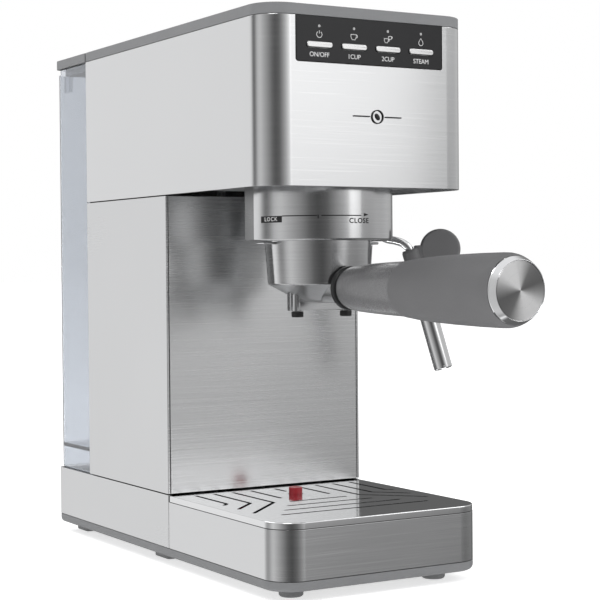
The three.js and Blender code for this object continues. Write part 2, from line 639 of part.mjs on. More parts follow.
// Slots of the grate: short ones run back from the middle and the outer ones bend out to the
// sides, mirrored left and right; the cross slots widen towards the front.
function grateSlots() {
  const edge = HALF - SLOT_EDGE;
  const runs = [[[0, SLOT_START], [0, SLOT_START - SLOT_PITCH]]];
  for (let x = FLOAT_R + SLOT_PITCH; x < edge - SLOT_W; x += SLOT_PITCH) {
    const inner = x < 2 * SLOT_PITCH;
    const bend = SLOT_START - (inner ? SLOT_RUN - 2.4 : SLOT_RUN + 0.4 * (edge - x));
    const points = [[x, SLOT_START], [x, bend]];
    if (!inner) points.push([edge, bend - (edge - x)]);
    runs.push(points, points.map(([px, py]) => [-px, py]));
  }
  for (let row = 0; row < CROSS_ROWS; row += 1) {
    const reach = 19 + row * 10.2;
    const y = 73 - TRAY_REACH - row * CROSS_PITCH;
    runs.push([[-reach, y], [reach, y]]);
  }
  return runs.flatMap((points) => points.slice(1).map((point, i) => prism(
    slotPlan(points[i], point, SLOT_W), GRATE_Z - GRATE_RIM - 1, GRATE_Z + 1, 3)));
}

function dripTray() {
  const front = -TRAY_REACH;
  const rimZ = GRATE_Z - GRATE_RIM;
  const z0 = PAN_TOP + GAP;
  const z1 = rimZ - GAP;
  const shell = cut(
    prism(bodyPlan(HALF, front, -GAP, CORNER_R), z0, z1),
    prism(bodyPlan(HALF - SHEET, front + SHEET, 1, CORNER_R - SHEET), z0 - 1, z1 + 1),
  );
  piece('tray_shell', shell, 'steel');

  const inset = SHEET + GAP;
  const plan = (more) => bodyPlan(HALF - inset - more, front + inset + more, -1 - more,
    CORNER_R - inset - more);
  piece('tray_pan', cut(prism(plan(0), z0, z1), prism(plan(WALL), z0 + 2, z1 + 1)), 'dark');

  const grate = (more, z) => bodyPlan(HALF - 0.2 - more, front + 0.2 + more, -1.5 - more,
    CORNER_R - 0.2 - more);
  const plate = cut(
    prism(grate(0), rimZ, GRATE_Z), prism(grate(1.6), rimZ - 1, GRATE_Z - 1.5),
    ...grateSlots(),
    post(0, FLOAT_Y, FLOAT_R + 0.6, rimZ, GRATE_Z + 1, 20),
  );
  piece('drip_grate', plate, 'mirror');
  piece('drip_float', join(
    post(0, FLOAT_Y, FLOAT_R, z0 + 5, GRATE_Z + FLOAT_RISE, 24),
    post(0, FLOAT_Y, 14, z0 + 2 + GAP, z0 + 8, 24),
  ), 'red');
}

// ---- Portafilter --------------------------------------------------------

function portafilter() {
  const bottom = HEAD_Z - 54.9;
  const dome = bottom - 5.6;
  const cup = turned([
    [0, dome], [CUP_R - 11.4, dome], [CUP_R - 5, dome + 2.2], [CUP_R - 1.6, bottom],
    [CUP_R, COLLAR_Z - 2], [CUP_R, RIM_Z], [CUP_R - 2.2, RIM_Z], [CUP_R - 2.4, bottom + 7],
    [CUP_R - 8, bottom + 1], [4, bottom - 2], [0, bottom - 2],
  ], 0, GROUP_Y, 40);
  const lugPair = lugs(CUP_R + LUG_REACH, LUG_ANGLE, LEDGE_Z + GAP, LEDGE_Z + 3.4);
  const bore = post(0, GROUP_Y, CUP_R - 1, COLLAR_Z, RIM_Z + 1, 40);
  const armStart = -GROUP_Y + CUP_R - 12;
  const neckStart = -GROUP_Y + CUP_R + 5.6;
  const arm = turnedForward([
    [0, armStart], [8.6, armStart], [8.6, neckStart - 3], [10.4, neckStart - 2.6],
    [10.4, neckStart - GAP], [5, neckStart - GAP], [5, neckStart + 24], [0, neckStart + 24],
  ], 0, HANDLE_Z, 28);
  const feed = post(0, GROUP_Y, 3, dome - 1, bottom, 16);
  piece('filter_holder', cut(join(cup, cut(lugPair, bore), arm), feed), 'satin');

  const basketR = CUP_R - 2.2 - 1.2;
  piece('filter_basket', turned([
    [0, bottom + 9], [basketR - 2, bottom + 9], [basketR, bottom + 12], [basketR, RIM_Z + GAP],
    [CUP_R + 0.4, RIM_Z + GAP], [CUP_R + 0.4, FLANGE_Z], [basketR - 0.8, FLANGE_Z],
    [basketR - 0.8, bottom + 12.4], [basketR - 2.4, bottom + 9.8], [0, bottom + 9.8],
  ], 0, GROUP_Y, 32), 'mirror');

  // Twin spout: a bridge under the holder with two outlets.
  const spoutTop = dome - GAP;
  const spoutEnd = HEAD_Z - 70.9;
  const way = [-OUTLET_X, OUTLET_X];
  const spout = join(
    post(0, GROUP_Y, 9, spoutTop - 5, spoutTop, 24),
    prism(slotPlan([-OUTLET_X, GROUP_Y], [OUTLET_X, GROUP_Y], 11), spoutEnd + 2,
      spoutTop - 3, 6),
    ...way.map((x) => post(x, GROUP_Y, OUTLET_R, spoutEnd, spoutTop - 3, 20)),
  );
  piece('spout', cut(spout,
    post(0, GROUP_Y, 3, spoutEnd + 4.5, spoutTop + 1, 16),
    box(-OUTLET_X, OUTLET_X, GROUP_Y - 2, GROUP_Y + 2, spoutEnd + 4.5, spoutEnd + 7.5),
    ...way.map((x) => post(x, GROUP_Y, 2.2, spoutEnd - 1, spoutEnd + 6, 12))), 'satin');
  ['nozzle_left', 'nozzle_right'].forEach((name, i) => piece(name, cut(
    post(way[i], GROUP_Y, NOZZLE_R, spoutEnd - 3.8, spoutEnd - GAP, 20),
    post(way[i], GROUP_Y, NOZZLE_R - 1.5, spoutEnd - 4.8, spoutEnd, 12)), 'rubber'));

  // Handle: glossy neck, matt grip and a turned end cap on the holder's stud.
  const gripEnd = HANDLE_END - CAP_REACH;
  const studR = 5 + GAP;
  piece('handle_neck', turnedForward([
    [studR, neckStart], [10.5, neckStart], [12.3, neckStart + 4.2],
    [13.5, neckStart + 16], [HANDLE_R - 3.8, GRIP_START - GAP], [studR, GRIP_START - GAP],
    [studR, neckStart],
  ], 0, HANDLE_Z), 'grip');
  piece('handle_grip', turnedForward([
    [0, GRIP_START], [HANDLE_R - 3.6, GRIP_START], [HANDLE_R - 2.2, GRIP_START + 10],
    [HANDLE_R - 1, GRIP_START + 30], [HANDLE_R, gripEnd - 9],
    [HANDLE_R - 0.6, gripEnd - 3.5], [HANDLE_R - 2.1, gripEnd], [0, gripEnd],
  ], 0, HANDLE_Z), 'grip');
  piece('handle_cap', turnedForward([
    [0, gripEnd + GAP], [HANDLE_R - 2.4, gripEnd + GAP], [HANDLE_R - 3.8, HANDLE_END],
    [0, HANDLE_END],
  ], 0, HANDLE_Z), 'mirror');
}

base();
column();
head();
brewGroup();
waterWorks();
steamWand();
waterTank();
dripTray();
portafilter();

// Rest on z = 0 with the middle of the outer box above the origin.
const outer = new THREE.Box3().setFromObject(group);
group.position.set(-(outer.min.x + outer.max.x) / 2, -(outer.min.y + outer.max.y) / 2,
  -outer.min.z);

export default group;
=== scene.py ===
"""Looks of a slim espresso machine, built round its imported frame.

Meshes are shaped in millimetres in the machine's own frame: x = 0 on the middle plane, y = 0 on
the column's front face, z = 0 on the worktop. Each is put into the row frame, in metres, when it
is done.
"""

import logging
import math
from dataclasses import dataclass, field
from enum import Enum
from typing import Iterable, Sequence

import bmesh
import bpy
from bmesh.types import BMesh, BMFace
from mathutils import Matrix, Vector


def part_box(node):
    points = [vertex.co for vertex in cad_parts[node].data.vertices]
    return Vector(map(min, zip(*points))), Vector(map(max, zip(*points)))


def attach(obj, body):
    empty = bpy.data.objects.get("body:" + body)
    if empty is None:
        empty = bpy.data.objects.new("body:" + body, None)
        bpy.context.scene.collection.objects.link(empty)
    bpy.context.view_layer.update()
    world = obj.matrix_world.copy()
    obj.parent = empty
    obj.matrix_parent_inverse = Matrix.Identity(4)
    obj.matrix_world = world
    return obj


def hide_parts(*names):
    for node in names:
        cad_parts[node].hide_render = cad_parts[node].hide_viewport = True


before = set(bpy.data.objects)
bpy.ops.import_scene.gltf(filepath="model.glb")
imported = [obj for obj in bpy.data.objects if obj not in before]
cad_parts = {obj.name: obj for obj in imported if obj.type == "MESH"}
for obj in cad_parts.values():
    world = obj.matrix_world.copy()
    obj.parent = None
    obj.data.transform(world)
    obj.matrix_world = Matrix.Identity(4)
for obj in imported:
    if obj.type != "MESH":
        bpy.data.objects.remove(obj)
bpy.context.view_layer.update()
LOG = logging.getLogger("espresso_machine")
MM = 0.001
Point = tuple[float, float, float]
Flat = tuple[float, float]
Material = bpy.types.Material
CAPITAL = 0.7  # height of a capital letter against the size of its text


# ---- Where things stand ---------------------------------------------------


@dataclass(frozen=True)
class Box:
    """Upright box in the machine's frame, in millimetres."""

    x0: float
    x1: float
    y0: float
    y1: float
    z0: float
    z1: float

    @property
    def centre(self) -> Vector:
        """Middle of the box."""
        return Vector((self.x0 + self.x1, self.y0 + self.y1, self.z0 + self.z1)) / 2


class Datum:
    """The machine's own frame inside the row frame."""

    def __init__(self) -> None:
        """Read the middle plane and the column's face from the splash panel."""
        low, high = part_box("splash_panel")
        self.shift = Vector(((low.x + high.x) / 2, low.y, 0.0))

    def box(self, node: str) -> Box:
        """Box of a CAD node in the machine's frame.

        Args:
            node: Name of the CAD node.

        Returns:
            Its box in millimetres.
        """
        low, high = ((corner - self.shift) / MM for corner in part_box(node))
        return Box(low.x, high.x, low.y, high.y, low.z, high.z)

    def point(self, x: float, y: float, z: float) -> Vector:
        """A point of the machine's frame in the row frame, in metres."""
        return Vector((x, y, z)) * MM + self.shift

    @property
    def matrix(self) -> Matrix:
        """Transform from the machine's frame to the row frame."""
        return Matrix.Translation(self.shift) @ Matrix.Scale(MM, 4)


DATUM = Datum()


# ---- Material graphs ------------------------------------------------------


class Graph:
    """A material's node tree with one principled shader."""

    def __init__(self, name: str) -> None:
        """Start a material.

        Args:
            name: Name of the material.
        """
        self.material = bpy.data.materials.new(name)
        self.material.use_nodes = True
        self.tree = self.material.node_tree
        self.shader = self.tree.nodes["Principled BSDF"]
        self._coords: bpy.types.NodeSocket | None = None

    def node(self, kind: str, **inputs: object) -> bpy.types.Node:
        """Add a node and fill its inputs.

        Args:
            kind: Type of the node.
            **inputs: Values or sockets by input name, underscores standing for spaces.

        Returns:
            The new node.
        """
        made = self.tree.nodes.new(kind)
        for key, value in inputs.items():
            self.put(made.inputs[key.replace("_", " ")], value)
        return made

    def put(self, socket: bpy.types.NodeSocket, value: object) -> None:
        """Link a socket into an input, or set its value."""
        if isinstance(value, bpy.types.NodeSocket):
            self.tree.links.new(value, socket)
        else:
            socket.default_value = value

    def set(self, **inputs: object) -> None:
        """Fill inputs of the principled shader by name."""
        for key, value in inputs.items():
            self.put(self.shader.inputs[key.replace("_", " ")], value)

    @property
    def coords(self) -> bpy.types.NodeSocket:
        """Object coordinates, in metres."""
        if self._coords is None:
            self._coords = self.tree.nodes.new("ShaderNodeTexCoord").outputs["Object"]
        return self._coords

    def stretched(self, scale: Point, origin: Point = (0.0, 0.0, 0.0)) -> bpy.types.NodeSocket:
        """Object coordinates measured from an origin and stretched.

        Args:
            scale: Factor along each axis.
            origin: Point that becomes zero, in metres.

        Returns:
            The vector socket.
        """
        place = tuple(-o * s for o, s in zip(origin, scale))
        mapping = self.node("ShaderNodeMapping", Vector=self.coords, Location=place, Scale=scale)
        return mapping.outputs["Vector"]

    def noise(self, vector: bpy.types.NodeSocket, scale: float = 1.0, detail: float = 2.0,
              rough: float = 0.5) -> bpy.types.NodeSocket:
        """Noise between 0 and 1 on a vector."""
        made = self.node("ShaderNodeTexNoise", Vector=vector, Scale=scale, Detail=detail,
                         Roughness=rough)
        return made.outputs["Fac"]

    def math(self, operation: str, a: object, b: object = 0.0) -> bpy.types.NodeSocket:
        """One arithmetic step on values or sockets."""
        made = self.tree.nodes.new("ShaderNodeMath")
        made.operation = operation
        self.put(made.inputs[0], a)
        self.put(made.inputs[1], b)
        return made.outputs["Value"]

    def ranged(self, value: bpy.types.NodeSocket, start: float, end: float, low: float,
               high: float) -> bpy.types.NodeSocket:
        """Map a value's range to another, clamped.

        Args:
            value: The socket to read.
            start: Value that gives low.
            end: Value that gives high.
            low: Result at start.
            high: Result at end.

        Returns:
            The mapped socket.
        """
        made = self.node("ShaderNodeMapRange", Value=value, From_Min=start, From_Max=end,
                         To_Min=low, To_Max=high)
        return made.outputs["Result"]

    def blend(self, share: object, a: object, b: object) -> bpy.types.NodeSocket:
        """Mix two colours."""
        made = self.tree.nodes.new("ShaderNodeMix")
        made.data_type = "RGBA"
        self.put(made.inputs["Factor"], share)
        self.put(made.inputs[6], a)
        self.put(made.inputs[7], b)
        return made.outputs[2]

    def bump(self, height: bpy.types.NodeSocket, distance: float,
             strength: float = 1.0) -> bpy.types.NodeSocket:
        """Normal that follows a height, with its depth in metres."""
        made = self.node("ShaderNodeBump", Height=height, Distance=distance, Strength=strength)
        return made.outputs["Normal"]


def rgba(colour: Point) -> tuple[float, float, float, float]:
    """A colour with full alpha."""
    return (*colour, 1.0)


def shaded(colour: Point, factor: float) -> tuple[float, float, float, float]:
    """A colour made lighter or darker by a factor, with full alpha."""
    return (*(min(1.0, part * factor) for part in colour), 1.0)


class Grain(Enum):
    """Direction of the brush lines, as stretches of object coordinates."""

    LEVEL = (10.0, 10.0, 3300.0)
    FORWARD = (1900.0, 14.0, 1900.0)


@dataclass(frozen=True)
class BrushedSheet:
    """Sheet steel brushed in one direction."""

    name: str
    colour: Point
    roughness: float = 0.3
    grain: Grain = Grain.LEVEL
    contrast: float = 0.03
    depth: float = 2e-6
    anisotropy: float = 0.4
    streaks: float = 0.1
    on_sides: float = 0.12

    def build(self) -> Material:
        """Make the material."""
        graph = Graph(self.name)
        fine = graph.noise(graph.stretched(self.grain.value), detail=3.0, rough=0.65)
        sparse_scale = tuple(s * (0.45 if s > 100 else 1.6) for s in self.grain.value)
        sparse = graph.noise(graph.stretched(sparse_scale), detail=1.0)
        shown = self._shown(graph)
        streak = graph.math("MULTIPLY", graph.ranged(sparse, 0.6, 0.76, 0.0, 1.0), shown)
        cloud = graph.noise(graph.coords, scale=9.0, detail=2.0)
        tone = graph.math("ADD", 0.5, graph.math(
            "MULTIPLY", graph.ranged(fine, 0.3, 0.7, -0.5, 0.5), shown))
        base = graph.blend(tone, shaded(self.colour, 1 - self.contrast),
                           shaded(self.colour, 1 + self.contrast))
        lit = graph.blend(graph.math("MULTIPLY", streak, self.streaks), base,
                          shaded(self.colour, 1.25))
        worn = graph.math("ADD", graph.ranged(tone, 0.0, 1.0, self.roughness - 0.04,
                                              self.roughness + 0.04),
                          graph.ranged(cloud, 0.3, 0.7, -0.02, 0.02))
        height = graph.math("SUBTRACT", tone, graph.math("MULTIPLY", streak, self.streaks))
        graph.set(Base_Color=lit, Roughness=worn, Metallic=1.0,
                  Anisotropic=self.anisotropy, Anisotropic_Rotation=0.25,
                  Normal=graph.bump(height, self.depth))
        return graph.material

    def _shown(self, graph: Graph) -> bpy.types.NodeSocket:
        """How much of the brushing shows: all of it in front, little on faces to the sides."""
        normal = graph.tree.nodes.new("ShaderNodeTexCoord").outputs["Normal"]
        sideways = graph.math("ABSOLUTE", graph.node("ShaderNodeSeparateXYZ",
                                                     Vector=normal).outputs[0])
        return graph.ranged(sideways, 0.7, 0.98, 1.0, self.on_sides)


@dataclass(frozen=True)
class SpunMetal:
    """Metal turned about an axis through a point, with fine rings."""

    name: str
    colour: Point
    centre: Point
    axis: int = 2
    roughness: float = 0.26
    pitch: float = 2600.0
    depth: float = 3e-6
    contrast: float = 0.05

    def build(self) -> Material:
        """Make the material."""
        graph = Graph(self.name)
        scale = [22.0, 22.0, 22.0]
        scale[self.axis] = self.pitch
        rings = graph.noise(graph.stretched(tuple(scale), self.centre), detail=2.0, rough=0.6)
        cloud = graph.noise(graph.coords, scale=60.0, detail=3.0)
        base = graph.blend(graph.ranged(rings, 0.3, 0.7, 0.0, 1.0),
                           shaded(self.colour, 1 - self.contrast),
                           shaded(self.colour, 1 + self.contrast))
        worn = graph.math("ADD", graph.ranged(rings, 0.3, 0.7, self.roughness - 0.04,
                                              self.roughness + 0.04),
                          graph.ranged(cloud, 0.35, 0.65, -0.025, 0.025))
        graph.set(Base_Color=base, Roughness=worn, Metallic=1.0,
                  Normal=graph.bump(rings, self.depth))
        return graph.material


@dataclass(frozen=True)
class TurnedFace:
    """Flat end face with fine rings about a forward axis, and a painted sheen fanning from the
    middle.
    """

    name: str
    colour: Point
    centre: Point
    roughness: float = 0.3
    painted_sheen_turn: float = -170.0
    painted_sheen_depth: float = 0.3

    def build(self) -> Material:
        """Make the material."""
        graph = Graph(self.name)
        local = graph.stretched((1.0, 1.0, 1.0), self.centre)
        parts = graph.node("ShaderNodeSeparateXYZ", Vector=local).outputs
        radius = graph.math("SQRT", graph.math("ADD", graph.math("MULTIPLY", parts[0], parts[0]),
                                               graph.math("MULTIPLY", parts[2], parts[2])))
        ring_line = graph.node("ShaderNodeCombineXYZ", X=graph.math("MULTIPLY", radius, 3200.0))
        rings = graph.noise(ring_line.outputs["Vector"], detail=3.0, rough=0.7)
        across = graph.node("ShaderNodeCombineXYZ", X=graph.math("MULTIPLY", parts[2], -1.0),
                            Z=parts[0]).outputs["Vector"]
        world = graph.node("ShaderNodeVectorTransform", Vector=across)
        world.vector_type = "VECTOR"
        world.convert_from = "OBJECT"
        world.convert_to = "WORLD"
        # Painted sheen: the base colour darkens and brightens with the angle round the middle, a
        # fixed fan of highlights.
        angle = graph.math("ARCTAN2", parts[2], parts[0])
        painted_sheen = graph.math("SINE", graph.math("ADD", graph.math("MULTIPLY", angle, 2.0),
                                            math.radians(self.painted_sheen_turn)))
        cut_line = graph.blend(graph.ranged(rings, 0.3, 0.7, 0.0, 1.0),
                               shaded(self.colour, 0.92), shaded(self.colour, 1.06))
        base = graph.blend(graph.ranged(painted_sheen, -0.75, 0.55, 0.0, 1.0),
                           shaded(self.colour, self.painted_sheen_depth), cut_line)
        graph.set(Base_Color=base, Metallic=1.0, Anisotropic=0.95, Anisotropic_Rotation=0.25,
                  Roughness=graph.ranged(rings, 0.3, 0.7, self.roughness - 0.04,
                                         self.roughness + 0.04),
                  Tangent=world.outputs["Vector"], Normal=graph.bump(rings, 2e-6))
        return graph.material


@dataclass(frozen=True)
class Polished:
    """Polished or plated metal with faint waviness and fine scratches."""

    name: str
    colour: Point
    roughness: float = 0.07
    wave: float = 2.5e-5

    def build(self) -> Material:
        """Make the material."""
        graph = Graph(self.name)
        wave = graph.noise(graph.coords, scale=45.0, detail=1.0)
        scratch = graph.noise(graph.stretched((900.0, 60.0, 300.0)), detail=4.0, rough=0.7)
        smudge = graph.noise(graph.coords, scale=70.0, detail=4.0, rough=0.6)
        rough = graph.math("ADD", graph.ranged(scratch, 0.45, 0.75, self.roughness,
                                               self.roughness + 0.07),
                           graph.ranged(smudge, 0.45, 0.75, 0.0, 0.05))
        graph.set(Base_Color=graph.blend(graph.ranged(smudge, 0.4, 0.8, 0.0, 0.25),
                                         rgba(self.colour), shaded(self.colour, 0.9)),
                  Metallic=1.0, Roughness=rough, Normal=graph.bump(wave, self.wave))
        return graph.material


@dataclass(frozen=True)
class Moulded:
    """Moulded plastic or rubber with a fine spark-eroded texture."""

    name: str
    colour: Point
    roughness: float = 0.5
    grain: float = 2200.0
    depth: float = 1.2e-5
    coat: float = 0.0
    variation: float = 0.05
    specular: float = 0.45

    def build(self) -> Material:
        """Make the material."""
        graph = Graph(self.name)
        grit = graph.noise(graph.coords, scale=self.grain, detail=2.0, rough=0.6)
        cloud = graph.noise(graph.coords, scale=28.0, detail=3.0)
        base = graph.blend(graph.ranged(cloud, 0.3, 0.7, 0.0, 1.0),
                           shaded(self.colour, 1 - self.variation),
                           shaded(self.colour, 1 + self.variation))
        rough = graph.math("ADD", graph.ranged(grit, 0.3, 0.7, self.roughness - 0.05,
                                               self.roughness + 0.05),
                           graph.ranged(cloud, 0.3, 0.7, -0.04, 0.04))
        graph.set(Base_Color=base, Roughness=rough, Coat_Weight=self.coat, Coat_Roughness=0.12,
                  Specular_IOR_Level=self.specular, Normal=graph.bump(grit, self.depth))
        return graph.material


@dataclass(frozen=True)
class ClearWall:
    """Clear tinted plastic, slightly cloudy as a moulded water tank is."""

    name: str
    colour: Point
    roughness: float = 0.09
    transmission: float = 0.9

    def build(self) -> Material:
        """Make the material."""
        graph = Graph(self.name)
        flow = graph.noise(graph.stretched((20.0, 20.0, 5.0)), detail=2.0)
        spots = graph.noise(graph.coords, scale=220.0, detail=3.0)
        rough = graph.math("ADD", graph.ranged(flow, 0.3, 0.7, self.roughness - 0.04,
                                               self.roughness + 0.04),
                           graph.ranged(spots, 0.55, 0.75, 0.0, 0.08))
        base = graph.blend(graph.ranged(flow, 0.3, 0.7, 0.0, 1.0), shaded(self.colour, 0.97),
                           shaded(self.colour, 1.02))
        graph.set(Base_Color=base, Roughness=rough, IOR=1.46,
                  Transmission_Weight=self.transmission, Normal=graph.bump(flow, 6e-5))
        return graph.material


# ---- Shaping meshes -------------------------------------------------------


def quarter_turns(bm: BMesh, verts: Sequence[bmesh.types.BMVert], radius: float,
                  segments: int) -> None:
    """Round upright corners of a plan face."""
    if radius > 0:
        bmesh.ops.bevel(bm, geom=list(verts), offset=radius, offset_type="OFFSET",
                        affect="VERTICES", segments=segments, profile=0.5, material=-1)


def plan(bm: BMesh, low: Flat, high: Flat, z: float, front: float = 0.0, back: float = 0.0,
         segments: int = 10) -> BMFace:
    """Level face with rounded corners.

    Args:
        bm: Mesh to add to.
        low: Lowest x and y.
        high: Highest x and y.
        z: Height of the face.
        front: Radius of the two front corners.
        back: Radius of the two back corners.
        segments: Steps in each corner.

    Returns:
        The face.
    """
    corners = [(low[0], low[1]), (high[0], low[1]), (high[0], high[1]), (low[0], high[1])]
    verts = [bm.verts.new((x, y, z)) for x, y in corners]
    before = set(bm.faces)
    bm.faces.new(verts)
    quarter_turns(bm, verts[:2], front, segments)
    remaining = [v for v in bm.verts if v.is_valid and any(
        (v.co - Vector((x, y, z))).length < 1e-6 for x, y in corners[2:])]
    quarter_turns(bm, remaining, back, segments)
    return next(f for f in bm.faces if f not in before)


def raised(bm: BMesh, face: BMFace, height: float) -> BMFace:
    """Extrude a level face up or down and return the moved face."""
    made = bmesh.ops.extrude_face_region(bm, geom=[face])["geom"]
    verts = [item for item in made if isinstance(item, bmesh.types.BMVert)]
    bmesh.ops.translate(bm, verts=verts, vec=(0.0, 0.0, height))
    return next(item for item in made if isinstance(item, BMFace))


def slab(low: Flat, high: Flat, z0: float, z1: float, front: float = 0.0, back: float = 0.0,
         segments: int = 10) -> BMesh:
    """Solid plate with rounded upright corners.

    Args:
        low: Lowest x and y.
        high: Highest x and y.
        z0: Bottom.
        z1: Top.
        front: Radius of the front corners.
        back: Radius of the back corners.
        segments: Steps in each corner.

    Returns:
        A new mesh.
    """
    bm = bmesh.new()
    face = plan(bm, low, high, z0, front, back, segments)
    raised(bm, face, z1 - z0)
    bmesh.ops.recalc_face_normals(bm, faces=bm.faces)
    return bm


def brick(box: Box) -> BMesh:
    """Plain block, for cutters and for parts that get their edges later."""
    return slab((box.x0, box.y0), (box.x1, box.y1), box.z0, box.z1)


def hollowed(bm: BMesh, wall: float, depth: float, top: bool = True) -> None:
    """Sink a pocket into the top or the bottom of a slab, leaving a wall round it."""
    level = (max if top else min)(v.co.z for v in bm.verts)
    face = next(f for f in bm.faces if all(abs(v.co.z - level) < 1e-6 for v in f.verts))
    bmesh.ops.inset_region(bm, faces=[face], thickness=wall, use_even_offset=True)
    made = bmesh.ops.extrude_face_region(bm, geom=[face])["geom"]
    verts = [item for item in made if isinstance(item, bmesh.types.BMVert)]
    bmesh.ops.delete(bm, geom=[face], context="FACES_KEEP_BOUNDARY")
    bmesh.ops.translate(bm, verts=verts, vec=(0.0, 0.0, -depth if top else depth))
    bmesh.ops.recalc_face_normals(bm, faces=bm.faces)


def edge_angle_over(edge: bmesh.types.BMEdge, degrees: float) -> bool:
    """True where an edge's two faces meet at more than an angle."""
    return len(edge.link_faces) == 2 and edge.calc_face_angle(0.0) > math.radians(degrees)


def eased(bm: BMesh, width: float, segments: int = 3, over: float = 30.0,
          chosen: Iterable[bmesh.types.BMEdge] | None = None) -> BMesh:
    """Round sharp edges.

    Args:
        bm: Mesh to change.
        width: How far the rounding reaches from each edge.
        segments: Steps of the rounding.
        over: Angle that makes an edge sharp, in degrees.
        chosen: Edges to round, or None for every sharp one.

    Returns:
        The same mesh.
    """
    edges = [e for e in (bm.edges if chosen is None else chosen) if edge_angle_over(e, over)]
    if edges:
        bmesh.ops.bevel(bm, geom=edges, offset=width, offset_type="OFFSET", affect="EDGES",
                        segments=segments, profile=0.5, material=-1, clamp_overlap=True)
    return bm


def level_edges(bm: BMesh, z: float) -> list[bmesh.types.BMEdge]:
    """Edges that lie at one height."""
    return [e for e in bm.edges if all(abs(v.co.z - z) < 1e-5 for v in e.verts)]


def turned(profile: Sequence[Flat], centre: Point, steps: int = 72, ease: float = 0.0,
           forward: bool = False) -> BMesh:
    """Body of revolution.

    Args:
        profile: Radius and distance along the axis of each corner, in order.
        centre: Point where the distance along the axis is zero.
        steps: Sides of the circle.
        ease: Rounding of the sharp rings.
        forward: True for an axis towards the front instead of upwards.

    Returns:
        A new mesh.
    """
    bm = bmesh.new()
    closed = profile[0] == profile[-1]
    points = list(profile[:-1]) if closed else list(profile)
    verts = [bm.verts.new((r, 0.0, h)) for r, h in points]
    edges = [bm.edges.new(pair) for pair in zip(verts, verts[1:])]
    if closed:
        edges.append(bm.edges.new((verts[-1], verts[0])))
    bmesh.ops.spin(bm, geom=verts + edges, cent=(0.0, 0.0, 0.0), axis=(0.0, 0.0, 1.0),
                   angle=2 * math.pi, steps=steps, use_merge=True, use_duplicate=False)
    bmesh.ops.remove_doubles(bm, verts=bm.verts, dist=1e-5)
    bmesh.ops.recalc_face_normals(bm, faces=bm.faces)
    if ease:
        rings = [e for e in bm.edges
                 if abs(e.verts[0].co.z - e.verts[1].co.z) < 1e-6
                 and abs(e.verts[0].co.xy.length - e.verts[1].co.xy.length) < 1e-4]
        eased(bm, ease, 3, 18.0, rings)
    if forward:
        bmesh.ops.rotate(bm, verts=bm.verts, matrix=Matrix.Rotation(math.pi / 2, 3, "X"))
    bmesh.ops.translate(bm, verts=bm.verts, vec=centre)
    return bm


def merged(*parts: BMesh) -> BMesh:
    """Put several meshes into one and free them."""
    whole = bmesh.new()
    for part in parts:
        carrier = bpy.data.meshes.new("carrier")
        part.to_mesh(carrier)
        part.free()
        whole.from_mesh(carrier)
        bpy.data.meshes.remove(carrier)
    return whole


def moved(bm: BMesh, matrix: Matrix) -> BMesh:
    """Transform a mesh and return it."""
    bmesh.ops.transform(bm, matrix=matrix, verts=bm.verts)
    return bm


def capsule(start: Flat, end: Flat, width: float, z0: float, z1: float) -> BMesh:
    """Upright bar with round ends between two points of the plan."""
    a, b = Vector(start), Vector(end)
    run = b - a
    half = width / 2
    bm = slab((-half, -half), (run.length + half, half), z0, z1, half * 0.98, half * 0.98, 5)
    turn = Matrix.Rotation(math.atan2(run.y, run.x), 4, "Z")
    return moved(bm, Matrix.Translation((a.x, a.y, 0.0)) @ turn)


def facing_front(bm: BMesh, y: float) -> BMesh:
    """Stand a level mesh up: its x stays, its y becomes z and its top faces forward from y."""
    stand = Matrix(((1, 0, 0, 0), (0, 0, -1, y), (0, 1, 0, 0), (0, 0, 0, 1)))
    return moved(bm, stand)


def curve_mesh(curve: bpy.types.Curve) -> BMesh:
    """Mesh of a curve or a word, which is removed.

    Args:
        curve: Curve data that no object uses.

    Returns:
        A new mesh.
    """
    holder = bpy.data.objects.new(curve.name, curve)
    bpy.context.scene.collection.objects.link(holder)
    made = bpy.data.meshes.new_from_object(holder.evaluated_get(
        bpy.context.evaluated_depsgraph_get()))
    bm = bmesh.new()
    bm.from_mesh(made)
    bpy.data.objects.remove(holder)
    bpy.data.curves.remove(curve)
    bpy.data.meshes.remove(made)
    return bm


def linked(name: str, bm: BMesh) -> bpy.types.Object:
    """Object in the scene that takes over a mesh, which is freed."""
    mesh = bpy.data.meshes.new(name)
    bm.to_mesh(mesh)
    bm.free()
    thing = bpy.data.objects.new(name, mesh)
    bpy.context.scene.collection.objects.link(thing)
    return thing


def pipe(points: Sequence[Point], radius: float, sides: int = 8, smooth: bool = True) -> BMesh:
    """Round tube along points.

    Args:
        points: Points of its middle line.
        radius: Outside radius.
        sides: Half of the steps round it.
        smooth: True for a line that curves through the points.

    Returns:
        A new mesh with closed ends.
    """
    curve = bpy.data.curves.new("line", "CURVE")
    curve.dimensions = "3D"
    curve.bevel_depth = radius
    curve.bevel_resolution = sides // 2
    curve.resolution_u = 10
    curve.use_fill_caps = True
    spline = curve.splines.new("BEZIER" if smooth else "POLY")
    if smooth:
        spline.bezier_points.add(len(points) - 1)
        for knot, place in zip(spline.bezier_points, points):
            knot.co = place
            knot.handle_left_type = knot.handle_right_type = "AUTO"
    else:
        spline.points.add(len(points) - 1)
        for knot, place in zip(spline.points, points):
            knot.co = (*place, 1.0)
    bm = curve_mesh(curve)
    bmesh.ops.remove_doubles(bm, verts=bm.verts, dist=1e-4)
    bmesh.ops.recalc_face_normals(bm, faces=bm.faces)
    return bm


